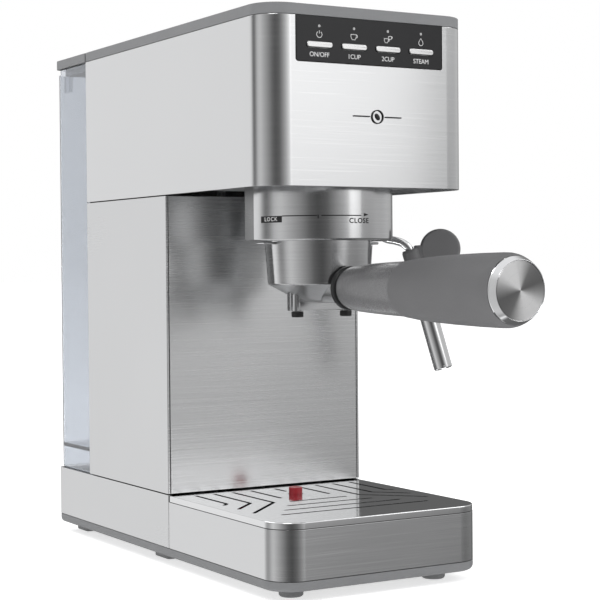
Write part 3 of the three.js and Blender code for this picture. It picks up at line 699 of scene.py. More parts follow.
def lettering(text: str, height: float, spacing: float = 1.0, depth: float = 0.04,
              bold: float = 0.0) -> BMesh:
    """Flat word in the plan, centred on zero, its face up.

    Args:
        text: The word.
        height: Size of its capitals.
        spacing: Space between its letters.
        depth: Thickness.
        bold: How far each stroke is thickened.

    Returns:
        A new mesh.
    """
    curve = bpy.data.curves.new("word", "FONT")
    curve.body = text
    curve.size = height / CAPITAL
    curve.space_character = spacing
    curve.align_x = "CENTER"
    curve.align_y = "CENTER"
    curve.extrude = depth / 2
    curve.offset = bold
    curve.resolution_u = 4
    return curve_mesh(curve)


class Piece:
    """A visible piece on its way from a mesh in millimetres to the finished object."""

    def __init__(self, name: str, bm: BMesh) -> None:
        """Take over a shaped mesh.

        Args:
            name: Name of the piece.
            bm: Its mesh in the machine's frame, which is freed.
        """
        self.thing = linked(name, bm)
        self._tools: list[bpy.types.Object] = []

    def cut(self, tool: BMesh) -> "Piece":
        """Take a shape away."""
        cutter = linked("tool", tool)
        boolean = self.thing.modifiers.new("cut", "BOOLEAN")
        boolean.operation = "DIFFERENCE"
        boolean.solver = "EXACT"
        boolean.object = cutter
        self._tools.append(cutter)
        return self

    def ease(self, width: float, segments: int = 2, over: float = 35.0) -> "Piece":
        """Round the sharp edges that are left."""
        bevel = self.thing.modifiers.new("ease", "BEVEL")
        bevel.width = width
        bevel.segments = segments
        bevel.limit_method = "ANGLE"
        bevel.angle_limit = math.radians(over)
        bevel.profile = 0.5
        bevel.use_clamp_overlap = True
        return self

    def fit(self, body: str, slot: str, material: Material, stands_for: Sequence[str] = (),
            sharp: float = 32.0) -> bpy.types.Object:
        """Args:
            body: Body that it rides on.
            slot: The record's material slot; not used.
            material: Its finish.
            stands_for: CAD nodes that it replaces.
            sharp: Angle above which an edge keeps a crease, in degrees.

        Returns:
            The finished object.
        """
        thing = self.thing
        self.bake()
        mesh = thing.data
        mesh.transform(DATUM.matrix)
        for face in mesh.polygons:
            face.use_smooth = True
        mesh.set_sharp_from_angle(angle=math.radians(sharp))
        weighted = thing.modifiers.new("even", "WEIGHTED_NORMAL")
        weighted.keep_sharp = True
        weighted.weight = 60
        self.bake()
        thing.data.materials.clear()
        thing.data.materials.append(material)
        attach(thing, body)
        if stands_for:
            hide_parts(*stands_for)
        LOG.info("%s: %d faces on %s", thing.name, len(thing.data.polygons), body)
        return thing

    def bake(self) -> None:
        """Turn the modifiers into mesh."""
        graph = bpy.context.evaluated_depsgraph_get()
        old = self.thing.data
        done = bpy.data.meshes.new_from_object(self.thing.evaluated_get(graph))
        self.thing.modifiers.clear()
        self.thing.data = done
        done.name = self.thing.name
        bpy.data.meshes.remove(old)
        for tool in self._tools:
            shape = tool.data
            bpy.data.objects.remove(tool)
            bpy.data.meshes.remove(shape)
        self._tools.clear()


# ---- Finishes of this machine ---------------------------------------------


GROUP = DATUM.box("group_collar").centre
GROUP_ROW = tuple(DATUM.point(GROUP.x, GROUP.y, GROUP.z))
HANDLE = DATUM.box("handle_cap").centre
HANDLE_ROW = tuple(DATUM.point(HANDLE.x, HANDLE.y, HANDLE.z))


Finish = BrushedSheet | ClearWall | Moulded | Polished | SpunMetal | TurnedFace


def made(finish: Finish) -> Material:
    """Field of a palette whose finish is made with the palette."""
    return field(default_factory=finish.build)


@dataclass
class Palette:
    """Every finish of the machine, made once."""

    front: Material = made(BrushedSheet(
        "brushed_front", (0.82, 0.825, 0.83), 0.2, contrast=0.035, streaks=0.3))
    splash: Material = made(BrushedSheet(
        "brushed_splash", (0.86, 0.865, 0.87), 0.25, contrast=0.05, streaks=0.2))
    tray: Material = made(BrushedSheet(
        "brushed_tray", (0.8, 0.805, 0.81), 0.2, contrast=0.05, streaks=0.45))
    side: Material = made(BrushedSheet(
        "side_panel", (0.8, 0.805, 0.81), 0.26, contrast=0.01, depth=5e-7,
        anisotropy=0.2, streaks=0.02))
    plate: Material = made(BrushedSheet(
        "brushed_plate", (0.7, 0.705, 0.71), 0.3, grain=Grain.FORWARD, contrast=0.05,
        on_sides=1.0))
    grey: Material = made(Moulded(
        "grey_moulding", (0.21, 0.213, 0.218), 0.4, specular=0.32))
    foot: Material = made(Moulded(
        "foot_rubber", (0.22, 0.222, 0.226), 0.62))
    neck: Material = made(Moulded(
        "handle_gloss", (0.15, 0.15, 0.153), 0.26, depth=2e-6, coat=0.25))
    grip: Material = made(Moulded(
        "handle_matt", (0.14, 0.14, 0.143), 0.55, grain=1500.0, depth=2e-5))
    black: Material = made(Moulded(
        "panel_black", (0.017, 0.017, 0.018), 0.22, depth=1e-6, specular=0.3))
    # Black print; also the black of the handle's ferrule ring, where it paints the shade of the gap
    # at the neck.
    ink_and_shade: Material = made(Moulded(
        "black_print_and_painted_shade", (0.012, 0.012, 0.013), 0.42, depth=1e-6))
    white: Material = made(Moulded(
        "white_print", (0.72, 0.72, 0.72), 0.5, depth=1e-6))
    satin: Material = made(SpunMetal(
        "satin_group", (0.8, 0.805, 0.81), GROUP_ROW, roughness=0.15))
    # Dark copy of the satin: painted shade for the block behind the collar, between it and the
    # splash panel.
    painted_shade_satin: Material = made(SpunMetal(
        "satin_shoulder_painted_shade", (0.33, 0.333, 0.336), GROUP_ROW, roughness=0.3))
    # Cast metal, darker than the cup; the darkness also paints the shade under the spout's bowl and
    # in the gap round the arm.
    arm: Material = made(SpunMetal(
        "cast_arm_and_painted_shade", (0.66, 0.665, 0.67), HANDLE_ROW, axis=1, roughness=0.34))
    button: Material = made(BrushedSheet(
        "button_silver", (0.9, 0.9, 0.9), 0.28, contrast=0.03))
    chrome: Material = made(Polished(
        "polished_steel", (0.92, 0.925, 0.93)))
    # The end disc carries a painted sheen in its colour.
    disc: Material = made(TurnedFace(
        "turned_cap_painted_sheen", (0.96, 0.96, 0.96), HANDLE_ROW, roughness=0.3))
    brass: Material = made(SpunMetal(
        "cast_brass", (0.6, 0.42, 0.2), GROUP_ROW, roughness=0.36))
    rubber: Material = made(Moulded(
        "black_rubber", (0.012, 0.012, 0.012), 0.45))
    pan: Material = made(Moulded(
        "black_moulding", (0.02, 0.02, 0.021), 0.5))
    red: Material = made(Moulded(
        "red_float", (0.36, 0.018, 0.028), 0.3, depth=4e-6, coat=0.2))
    board: Material = made(Moulded(
        "green_board", (0.03, 0.14, 0.06), 0.5))
    hose: Material = made(Moulded(
        "silicone_hose", (0.62, 0.63, 0.63), 0.38, depth=4e-6))
    tank: Material = made(ClearWall(
        "tank_wall", (0.71, 0.74, 0.785)))
    lamp: Material = made(ClearWall(
        "lamp_lens", (0.55, 0.55, 0.55), transmission=0.3))


# ---- Base -----------------------------------------------------------------


@dataclass
class Base:
    """Moulded pan with its feet and the steel skirt round it."""

    finish: Palette
    lip: float = 3.4
    sheet: float = 1.5
    rows: int = 5

    def build(self) -> None:
        """Make every piece of the base."""
        self._pan()
        self._feet()
        self._skirt()

    def _pan(self) -> None:
        """Make the pan, ribbed below, with a rounded lower edge."""
        box = DATUM.box("base_pan")
        corner = 17.5
        bm = slab((box.x0, box.y0), (box.x1, box.y1), box.z0, box.z1, corner, 3.0, 14)
        eased(bm, self.lip, 5, 30.0, level_edges(bm, box.z0))
        piece = Piece("base_pan_moulding", bm)
        pitch = (box.y1 - box.y0 - 2 * corner) / self.rows
        pockets = []
        for row in range(self.rows):
            y = box.y0 + corner + row * pitch
            for x0, x1 in ((-48.0, -3.0), (3.0, 48.0)):
                pockets.append(slab((x0, y + 3), (x1, y + pitch - 3), box.z0 - 2, box.z1 - 2.6,
                                    4.0, 4.0, 4))
        piece.cut(merged(*pockets)).ease(0.3)
        piece.fit("housing", "grey", self.finish.grey, ["base_pan"])

    def _feet(self) -> None:
        """Make the two round and the four square feet."""
        for node in ("foot_front_left", "foot_front_right"):
            box = DATUM.box(node)
            r = (box.x1 - box.x0) / 2
            middle = box.centre
            profile = [(0.0, 0.6), (r - 3.4, 0.6), (r - 2.8, 0.0), (r - 1.0, 0.0), (r - 0.2, 0.9),
                       (r, box.z1 - 0.6), (r, box.z1), (0.0, box.z1)]
            bm = turned(profile, (middle.x, middle.y, 0.0), 40, 0.25)
            Piece(f"{node}_pad", bm).fit("housing", "grey", self.finish.foot, [node])
        for side in ("left", "right"):
            for place in ("middle", "rear"):
                node = f"foot_{place}_{side}"
                box = DATUM.box(node)
                bm = slab((box.x0, box.y0), (box.x1, box.y1), 0.0, box.z1, 2.0, 2.0, 4)
                eased(bm, 0.9, 3, 30.0, level_edges(bm, 0.0))
                Piece(f"{node}_pad", bm).fit("housing", "grey", self.finish.foot, [node])

    def _skirt(self) -> None:
        """Wrap the sheet round both sides and the back, with the cord's hole."""
        left, back = DATUM.box("skirt_left"), DATUM.box("skirt_back")
        right = DATUM.box("skirt_right")
        outer = slab((left.x0, left.y0), (right.x1, back.y1), left.z0, left.z1, 0.0, 2.4, 5)
        piece = Piece("base_skirt", outer)
        t = self.sheet
        piece.cut(slab((left.x0 + t, left.y0 - 5), (right.x1 - t, back.y1 - t), left.z0 - 1,
                       left.z1 + 1, 0.0, 1.4, 5))
        gland = DATUM.box("cord_gland").centre
        hole = turned([(0.0, -12.0), (5.2, -12.0), (5.2, 12.0), (0.0, 12.0)],
                      (gland.x, back.y1, gland.z), 40, forward=True)
        piece.cut(hole).ease(0.25)
        piece.fit("housing", "side_panel", self.finish.side,
                  ["skirt_left", "skirt_right", "skirt_back"])


# ---- Column ---------------------------------------------------------------


@dataclass
class Column:
    """Side sheets and the brushed splash panel."""

    finish: Palette

    def build(self) -> None:
        """Make the three sheets."""
        for side in ("left", "right"):
            node = f"column_{side}"
            piece = Piece(f"{node}_sheet", brick(DATUM.box(node))).ease(0.3, 2)
            piece.fit("housing", "side_panel", self.finish.side, [node])
        splash = DATUM.box("splash_panel")
        Piece("splash_sheet", brick(splash)).ease(0.4, 2).fit(
            "housing", "front_steel", self.finish.splash, ["splash_panel"])


# ---- Head -----------------------------------------------------------------


@dataclass
class Head:
    """Steel wrap, moulded floor and cover, and the cup plate."""

    finish: Palette
    corner: float = 17.5
    sheet: float = 1.5
    recess: float = 3.0

    def build(self) -> None:
        """Make every piece of the head."""
        self._wrap()
        self._floor()
        self._cover()
        self._cup_plate()
        self._emblem()

    def _wrap(self) -> None:
        """Bend the sheet round the front, and cut it for the panel and the knob."""
        box = DATUM.box("head_shell")
        panel = DATUM.box("control_panel")
        t = self.sheet
        piece = Piece("head_wrap", slab((box.x0, box.y0), (box.x1, box.y1), box.z0, box.z1,
                                        self.corner, 0.0, 24))
        piece.cut(slab((box.x0 + t, box.y0 + t), (box.x1 - t, box.y1 + 5), box.z0 - 1,
                       box.z1 + 1, self.corner - t, 0.0, 24))
        window = slab((panel.x0 - 0.3, panel.z0 - 0.3), (panel.x1 + 0.3, box.z1 + 3), -4.0, 4.0,
                      1.6, 0.0, 6)
        piece.cut(facing_front(window, box.y0))
        knob = DATUM.box("steam_knob").centre
        hub = turned([(0.0, -6.0), (6.5, -6.0), (6.5, 6.0), (0.0, 6.0)], (0.0, 0.0, 0.0), 36)
        piece.cut(moved(hub, Matrix.Translation((box.x1, knob.y, knob.z))
                        @ Matrix.Rotation(math.pi / 2, 4, "Y")))
        piece.ease(0.3, 2).fit("housing", "front_steel", self.finish.front, ["head_shell"])

    def _floor(self) -> None:
        """Close the head from below, leaving holes for the group and the steam pipe."""
        box = DATUM.box("head_floor")
        bm = slab((box.x0, box.y0), (box.x1, box.y1), box.z0 + self.recess,
                  box.z1 + self.recess, self.corner - 1.8, 0.0, 14)
        piece = Piece("head_floor_plate", bm)
        piece.cut(turned([(0.0, -9.0), (34.3, -9.0), (34.3, 9.0), (0.0, 9.0)],
                         (GROUP.x, GROUP.y, box.z0), 64))
        nut = DATUM.box("pipe_nut").centre
        piece.cut(turned([(0.0, -9.0), (3.0, -9.0), (3.0, 9.0), (0.0, 9.0)],
                         (nut.x, nut.y, box.z0), 24))
        piece.ease(0.3)
        piece.fit("housing", "grey", self.finish.grey, ["head_floor"])

    def _cover(self) -> None:
        """Mould the cover with its recess for the plate."""
        box = DATUM.box("top_cover")
        plate = DATUM.box("cup_plate")
        bm = slab((box.x0, box.y0), (box.x1, box.y1), box.z0, box.z1, self.corner, 0.6, 24)
        eased(bm, 1.0, 4, 30.0, level_edges(bm, box.z1))
        hollowed(bm, 1.8, 2.2, top=False)
        piece = Piece("top_cover_moulding", bm)
        piece.cut(slab((plate.x0 - 0.3, plate.y0 - 0.3), (plate.x1 + 0.3, plate.y1 + 0.3),
                       plate.z0 - 0.3, box.z1 + 3, 9.5, 1.0, 10))
        piece.ease(0.25).fit("housing", "grey", self.finish.grey, ["top_cover"])

    def _cup_plate(self) -> None:
        """Brushed plate with rows of long raised ribs for the cups."""
        box = DATUM.box("cup_plate")
        base = slab((box.x0, box.y0), (box.x1, box.y1), box.z0, box.z1 - 0.5, 9.2, 0.8, 10)
        eased(base, 0.3, 2, 30.0, level_edges(base, box.z1 - 0.5))
        ribs = []
        for row in range(9):
            x = (row - 4) * 12.4
            for y0, y1 in ((box.y0 + 14, -8.0), (8.0, box.y1 - 14)):
                rib = capsule((x, y0), (x, y1), 3.2, box.z1 - 0.7, box.z1)
                ribs.append(eased(rib, 0.35, 2, 30.0, level_edges(rib, box.z1)))
        Piece("cup_plate_ribbed", merged(base, *ribs)).fit(
            "housing", "front_steel", self.finish.plate, ["cup_plate"])

    def _emblem(self) -> None:
        """Plain emblem: a bean in a ring between two thin bars."""
        box = DATUM.box("badge")
        middle = box.centre
        thick = box.y1 - box.y0
        y = box.y1
        bars = []
        for side in (-1, 1):
            bar = capsule((side * 5.6, 0.0), (side * 16.0, 0.0), 0.7, 0.0, thick * 0.6)
            bars.append(bar)
        ring = turned([(3.45, 0.0), (4.0, 0.0), (4.0, thick * 0.7), (3.45, thick * 0.7),
                       (3.45, 0.0)], (0.0, 0.0, 0.0), 40)
        bean = bmesh.new()
        bmesh.ops.create_uvsphere(bean, u_segments=24, v_segments=12, radius=1.0)
        moved(bean, Matrix.Rotation(math.radians(35), 4, "Z")
              @ Matrix.Diagonal((1.35, 2.2, thick * 0.8, 1.0)))
        bmesh.ops.bisect_plane(bean, geom=bean.verts[:] + bean.edges[:] + bean.faces[:],
                               plane_co=(0, 0, 0), plane_no=(0, 0, 1), clear_inner=True)
        bmesh.ops.holes_fill(bean, edges=bean.edges, sides=0)
        bm = facing_front(merged(ring, bean, *bars), y)
        bmesh.ops.translate(bm, verts=bm.verts, vec=(middle.x, 0.0, middle.z))
        Piece("emblem", bm).fit("housing", "black_gloss", self.finish.ink_and_shade, ["badge"])


# ---- Control panel --------------------------------------------------------


class Control(Enum):
    """The four controls from left to right: CAD button and its word."""

    POWER = ("button_power", "ON/OFF")
    ONE_CUP = ("button_one_cup", "1CUP")
    TWO_CUP = ("button_two_cup", "2CUP")
    STEAM = ("button_steam", "STEAM")


@dataclass
class ControlPanel:
    """Black panel with four buttons, their lamps, signs and words."""

    finish: Palette
    stroke: float = 0.16
    text: float = 2.6
    print_depth: float = 0.04

    def build(self) -> None:
        """Make the panel and all that is on it."""
        panel = DATUM.box("control_panel")
        depth = panel.y1 - panel.y0
        sheet = slab((panel.x0, panel.z0), (panel.x1, panel.z1), -depth, 0.0, 1.3, 0.3, 8)
        piece = Piece("control_panel_plate", facing_front(sheet, panel.y0))
        for control in Control:
            box = DATUM.box(control.value[0])
            face = self._button_face(box)
            hole = capsule((face[0] - face[2], box.centre.z), (face[0] + face[2], box.centre.z),
                           3.9, -6.0, 3.0)
            piece.cut(facing_front(hole, panel.y0))
        piece.ease(0.25, 2).fit("housing", "black_gloss", self.finish.black, ["control_panel"])
        for control in Control:
            self._button(control)
        self._lamps(panel)
        self._prints(panel)

    @staticmethod
    def _button_face(box: Box) -> tuple[float, float, float]:
        """Middle x, middle z and half the straight length of a button."""
        return box.centre.x, box.centre.z, 6.8

    def _button(self, control: Control) -> None:
        """One pill button with a softly crowned face."""
        node = control.value[0]
        box = DATUM.box(node)
        x, z, reach = self._button_face(box)
        pill = capsule((x - reach, z), (x + reach, z), 3.2, -3.6, 0.0)
        eased(pill, 0.55, 4, 30.0, level_edges(pill, 0.0))
        flange = capsule((x - reach, z), (x + reach, z), 5.2, -4.6, -3.4)
        stem = turned([(0.0, -(box.y1 - box.y0)), (1.5, -(box.y1 - box.y0)), (1.5, -4.5),
                       (0.0, -4.5)], (x, z, 0.0), 20)
        bm = facing_front(merged(pill, flange, stem), box.y0)
        Piece(f"{node}_cap", bm).fit(node, "satin", self.finish.button, [node])

    def _lamps(self, panel: Box) -> None:
        """Four lamp lenses on their rail behind the panel."""
        guide = DATUM.box("light_guide")
        lamps = []
        for control in Control:
            x = DATUM.box(control.value[0]).centre.x
            lamps.append(turned([(0.0, -3.0), (0.8, -3.0), (0.8, 0.05), (0.6, 0.18), (0.0, 0.25)],
                                (x, guide.centre.z, 0.0), 24))
        rail = slab((guide.x0, guide.z0), (guide.x1, guide.z1), -(guide.y1 - panel.y0),
                    -(panel.y1 - panel.y0) - 0.3)
        bm = facing_front(merged(rail, *lamps), panel.y0)
        Piece("lamp_lenses", bm).fit("housing", "clear", self.finish.lamp, ["light_guide"])

    def _line(self, points: Sequence[Flat]) -> BMesh:
        """Printed line through points of the panel's face, flattened to its depth."""
        tube = pipe([(x, y, 0.0) for x, y in points], self.stroke, 4, smooth=False)
        return moved(tube, Matrix.Diagonal((1.0, 1.0, self.print_depth / self.stroke, 1.0)))

    def _arc(self, centre: Flat, radius: float, start: float, end: float) -> BMesh:
        """Printed arc between two angles in degrees."""
        steps = max(4, int(abs(end - start) / 12))
        angles = [math.radians(start + (end - start) * i / steps) for i in range(steps + 1)]
        return self._line([(centre[0] + radius * math.cos(a), centre[1] + radius * math.sin(a))
                           for a in angles])

    def _cup(self, x: float, y: float, size: float) -> list[BMesh]:
        """Outline of a cup with its handle."""
        w = size * 0.62
        body = self._line([(x - w, y + size * 0.5), (x - w, y), (x - w * 0.6, y - size * 0.55),
                           (x + w * 0.6, y - size * 0.55), (x + w, y), (x + w, y + size * 0.5),
                           (x - w, y + size * 0.5)])
        return [body, self._arc((x + w, y + size * 0.15), size * 0.3, 80, -80)]

    def _prints(self, panel: Box) -> None:
        """Signs and words in white print."""
        sign_z = panel.z0 + 15.2
        word_z = panel.z0 + 3.9
        marks: list[BMesh] = []
        for control in Control:
            node, word = control.value
            x = DATUM.box(node).centre.x
            text = lettering(word, self.text, 0.96, self.print_depth)
            marks.append(moved(text, Matrix.Translation((x, word_z, 0.0))))
            if control is Control.POWER:
                marks += [self._arc((x, sign_z), 1.75, 125, 415),
                          self._line([(x, sign_z + 0.5), (x, sign_z + 2.2)])]
            elif control is Control.ONE_CUP:
                marks += self._cup(x - 0.3, sign_z, 2.8)
            elif control is Control.TWO_CUP:
                marks += self._cup(x - 1.1, sign_z - 0.6, 2.2)
                marks += self._cup(x + 1.5, sign_z + 1.1, 1.7)
            else:
                marks += [self._arc((x, sign_z - 0.5), 1.5, 140, 400),
                          self._line([(x - 1.15, sign_z + 0.45), (x, sign_z + 2.2),
                                      (x + 1.15, sign_z + 0.45)])]
        bm = facing_front(merged(*marks), panel.y0 - 0.03)
        Piece("panel_print", bm).fit("housing", "black_gloss", self.finish.white)


# ---- Brew group -----------------------------------------------------------


@dataclass
class BrewGroup:
    """Outer collar with its turning scale; the pieces inside it keep their CAD shapes."""

    finish: Palette
    scale_drop: float = 15.1
    into_head: float = 3.0
    shoulder: float = 12.0

    def build(self) -> None:
        """Make the collar and the print on it."""
        box = DATUM.box("group_collar")
        r = (box.x1 - box.x0) / 2
        lip = r - 10.0
        top = box.z1 + self.into_head
        profile = [(lip, box.z0), (r - 0.9, box.z0), (r, box.z0 + 0.9), (r, top),
                   (r - 9.0, top), (r - 9.0, box.z0 + 12.0), (r - 5.4, box.z0 + 12.0),
                   (r - 5.4, box.z0 + 4.0), (lip, box.z0 + 4.0), (lip, box.z0)]
        bm = turned(profile, (GROUP.x, GROUP.y, 0.0), 128, 0.35)
        piece = Piece("collar_ring", bm)
        gates = []
        for side in (0, 180):
            gate = brick(Box(20.0, r - 5.4, -12.0, 12.0, box.z0 - 1, box.z0 + 5))
            gates.append(moved(gate, Matrix.Translation((GROUP.x, GROUP.y, 0.0))
                               @ Matrix.Rotation(math.radians(side - 45), 4, "Z")))
        piece.cut(merged(*gates))
        piece.fit("housing", "satin", self.finish.satin, ["group_collar"])
        # The block behind the collar gets the dark satin, which paints the shade it stands in.
        block = slab((-r, GROUP.y), (r, GROUP.y + self.shoulder), box.z0 + 0.8, top, 0.0, 1.2, 5)
        core = turned([(0.0, box.z0 - 2), (r - 0.4, box.z0 - 2), (r - 0.4, top + 2),
                       (0.0, top + 2)], (GROUP.x, GROUP.y, 0.0), 96)
        shoulders = Piece("collar_shoulders", block).cut(core).ease(0.25)
        shoulders.fit("housing", "satin", self.finish.painted_shade_satin)
        self._scale(r, box.z1 - self.scale_drop)

    def _wrapped(self, bm: BMesh, angle: float, radius: float, z: float) -> BMesh:
        """Bend a flat mark round the collar.

        Args:
            bm: Mark in the plan, its face up and its middle at zero.
            angle: Place of its middle, in degrees from the front towards the right.
            radius: Radius of the collar.
            z: Height of its middle.

        Returns:
            The same mesh on the collar.
        """
        for vert in bm.verts:
            turn = math.radians(angle) + vert.co.x / radius
            reach = radius + 0.03 + vert.co.z
            vert.co = Vector((GROUP.x + reach * math.sin(turn), GROUP.y - reach * math.cos(turn),
                              z + vert.co.y))
        return bm

    @staticmethod
    def _strip(half: float, low: float, high: float) -> BMesh:
        """Flat strip about zero, cut into short lengths so that it bends."""
        bm = bmesh.new()
        steps = max(2, int(half))
        bmesh.ops.create_grid(bm, x_segments=steps * 2, y_segments=1, size=1.0)
        moved(bm, Matrix.Translation((0.0, (low + high) / 2, 0.0))
              @ Matrix.Diagonal((half, (high - low) / 2, 1.0, 1.0)))
        raise_by = bmesh.ops.extrude_face_region(bm, geom=bm.faces[:])["geom"]
        top = [item for item in raise_by if isinstance(item, bmesh.types.BMVert)]
        bmesh.ops.translate(bm, verts=top, vec=(0.0, 0.0, 0.04))
        bmesh.ops.recalc_face_normals(bm, faces=bm.faces)
        return bm

    def _scale(self, r: float, z: float) -> None:
        """Print the turning scale: a dark word box, a line with a tick, an arrow and a word."""
        per_degree = math.radians(1.0) * r
        dark = [
            self._wrapped(self._strip(10.2 * per_degree, -1.9, 1.9), -70.0, r, z - 1.6),
            self._wrapped(self._strip(13.6 * per_degree, -0.3, 0.3), -46.0, r, z + 0.2),
            self._wrapped(self._strip(0.32, -1.7, 0.5), -31.6, r, z + 0.2),
            self._wrapped(self._strip(15.8 * per_degree, -0.3, 0.3), -13.4, r, z + 0.2),
        ]
        word = lettering("CLOSE", 2.9, 1.14, bold=0.1)
        dark.append(self._wrapped(word, 0.8, r, z - 2.9))
        arrow = bmesh.new()
        bmesh.ops.create_circle(arrow, cap_ends=True, segments=3, radius=1.0)
        moved(arrow, Matrix.Diagonal((2.4, 1.15, 1.0, 1.0))
              @ Matrix.Rotation(math.radians(-90), 4, "Z"))
        dark.append(self._wrapped(arrow, 6.4, r, z + 0.7))
        Piece("collar_print", merged(*dark)).fit("housing", "black_gloss", self.finish.ink_and_shade)
        light = self._wrapped(lettering("LOCK", 2.3, 1.2, bold=0.04), -70.0, r + 0.05, z - 1.6)
        Piece("collar_print_light", light).fit("housing", "black_gloss", self.finish.white)


# ---- Portafilter ----------------------------------------------------------


@dataclass
class Portafilter:
    """Filter holder with its spout, nozzles and handle."""

    finish: Palette
    steps: int = 96
    spout_half: float = 21.6

    def build(self) -> None:
        """Make every piece that turns with the handle."""
        self._holder()
        self._spout()
        self._handle()

    def _holder(self) -> None:
        """Cup with its lugs and the cast arm."""
        box = DATUM.box("filter_holder")
        r = 32.4
        bottom = DATUM.box("filter_basket").z0 - 9.0
        top = box.z1
        cup = turned([(0.0, bottom - 0.6), (r - 1.9, bottom - 0.4), (r - 1.4, bottom + 0.4),
                      (r - 1.5, bottom + 1.0), (r, top - 10.0), (r, top), (r - 2.2, top),
                      (r - 2.4, bottom + 7.0), (r - 8.0, bottom + 1.0), (0.0, bottom + 0.4)],
                     (GROUP.x, GROUP.y, 0.0), self.steps, 0.3)
        bowl = turned([(0.0, bottom - 11.0), (6.0, bottom - 10.8), (10.5, bottom - 10.2),
                       (14.0, bottom - 9.0), (17.0, bottom - 7.5), (20.5, bottom - 5.7),
                       (25.5, bottom - 3.0), (r - 2.2, bottom - 0.5), (r - 2.2, bottom),
                       (0.0, bottom)], (GROUP.x, GROUP.y, 0.0), self.steps, 0.3)
        # The bowl takes the darker cast finish, partly as painted shade under it.
        Piece("filter_holder_bowl", bowl).fit("portafilter", "satin", self.finish.arm)
        lugs = []
        for side in (0, 180):
            lug = brick(Box(r - 1.0, r + 4.6, -10.0, 10.0, top - 3.6, top - 0.6))
            tab = brick(Box(r - 1.0, r + 8.0, -4.6, 4.6, top - 9.9, top - 8.4))
            for shape in (lug, tab):
                eased(shape, 0.6, 3)
                lugs.append(moved(shape, Matrix.Translation((GROUP.x, GROUP.y, 0.0))
                                  @ Matrix.Rotation(math.radians(side), 4, "Z")))
        neck = DATUM.box("handle_neck")
        start, end = 58.0, -neck.y1 - 0.3
        arm = turned([(0.0, start), (5.0, start + 1.5), (8.4, start + 6.0), (9.0, start + 12.0),
                      (8.7, end - 4.0), (5.0, end - 4.0), (5.0, end + 20.0), (0.0, end + 20.0)],
                     (0.0, 0.0, HANDLE.z), 56, 0.3, forward=True)
        Piece("filter_holder_cup", merged(cup, *lugs)).fit(
            "portafilter", "satin", self.finish.satin, ["filter_holder"])
        Piece("filter_holder_arm", arm).fit("portafilter", "satin", self.finish.arm)
        # Ferrule ring behind the neck; its black also paints the shade in the gap where the neck
        # leaves the cup.
        ferrule_and_shade_ring = turned([(5.1, end - 5.6), (10.4, end - 5.6), (12.2, end - 5.0), (12.9, end - 3.8),
                          (12.9, end - 1.2), (12.4, end - 0.5), (11.2, end), (5.1, end),
                          (5.1, end - 5.6)], (0.0, 0.0, HANDLE.z), 72, 0.3, forward=True)
        Piece("handle_ferrule_painted_shade", ferrule_and_shade_ring).fit("portafilter", "black_gloss", self.finish.ink_and_shade)

    def _spout(self) -> None:
        """Twin spout with two front tubes, and the nozzles under them."""
        box = DATUM.box("spout")
        top = DATUM.box("filter_basket").z0 - 14.2
        half = self.spout_half
        block = slab((-half, GROUP.y - 3.0), (half, GROUP.y + 1.6), box.z0, top, 0.8, 0.8, 4)
        eased(block, 0.4, 3)
        parts = [block]
        for node in ("nozzle_left", "nozzle_right"):
            tip = DATUM.box(node)
            middle = tip.centre
            y = middle.y - 3.0
            parts.append(turned([(0.0, box.z0 - 0.1), (2.7, box.z0 - 0.1), (2.7, top - 1.4),
                                 (2.3, top - 0.4), (0.0, top - 0.2)],
                                (middle.x * 1.04, y + 0.6, 0.0), 36, 0.2))
            ring = [(2.0, tip.z0), (3.2, tip.z0), (3.6, tip.z0 + 0.5), (3.6, tip.z1 - 0.5),
                    (3.3, tip.z1), (2.0, tip.z1), (2.0, tip.z0)]
            Piece(f"{node}_tip", turned(ring, (middle.x, y, 0.0), 36, 0.2)).fit(
                "portafilter", "rubber", self.finish.rubber, [node])
        Piece("twin_spout", merged(*parts)).fit("portafilter", "satin", self.finish.satin,
                                                ["spout"])

    def _handle(self) -> None:
        """Glossy neck, matt grip and the turned cap with its bright bevel."""
        neck, grip, cap = (DATUM.box(n) for n in ("handle_neck", "handle_grip", "handle_cap"))
        r = (grip.x1 - grip.x0) / 2
        a, b = -neck.y1, -neck.y0
        neck_line = [(5.3, a), (11.4, a), (12.0, a + 0.5), (12.6, a + 2.6), (13.1, a + 5.4),
                     (13.6, a + 11.0), (14.1, a + 20.0), (14.8, a + 36.0), (r - 3.8, b),
                     (5.3, b), (5.3, a)]
        Piece("handle_neck_sleeve", turned(neck_line, (0.0, 0.0, HANDLE.z), self.steps, 0.15,
                                           forward=True)).fit(
            "portafilter", "grip", self.finish.neck, ["handle_neck"])
        c, d = -grip.y1, -grip.y0
        grip_line = [(0.0, c), (r - 3.7, c), (r - 3.4, c + 0.4), (r - 2.3, c + 12.0),
                     (r - 1.4, c + 26.0), (r - 0.7, c + 44.0), (r - 0.15, c + 66.0),
                     (r, d - 9.0), (r - 0.1, d - 5.0), (r - 0.5, d - 2.6), (r - 1.0, d - 1.0),
                     (r - 1.6, d), (0.0, d)]
        Piece("handle_grip_body", turned(grip_line, (0.0, 0.0, HANDLE.z), self.steps, 0.15,
                                         forward=True)).fit(
            "portafilter", "grip", self.finish.grip, ["handle_grip"])
        e, f = -cap.y1, -cap.y0
        ring = [(r - 4.1, f - 0.9), (r - 4.1, f - 0.35), (r - 3.9, f), (r - 3.7, f),
                (r - 1.9, f - 3.4), (r - 1.8, e), (0.0, e), (0.0, f - 0.9)]
        Piece("handle_bevel_ring", turned(ring, (0.0, 0.0, HANDLE.z), self.steps, 0.1,
                                          forward=True)).fit(
            "portafilter", "mirror", self.finish.chrome, ["handle_cap"])
        face = [(0.0, f - 0.85), (r - 4.15, f - 0.85), (r - 4.15, f - 0.4), (r - 4.4, f - 0.2),
                (0.0, f - 0.2)]
        Piece("handle_end_disc", turned(face, (0.0, 0.0, HANDLE.z), self.steps,
                                        forward=True)).fit(
            "portafilter", "mirror", self.finish.disc)


# ---- Steam wand and knob --------------------------------------------------


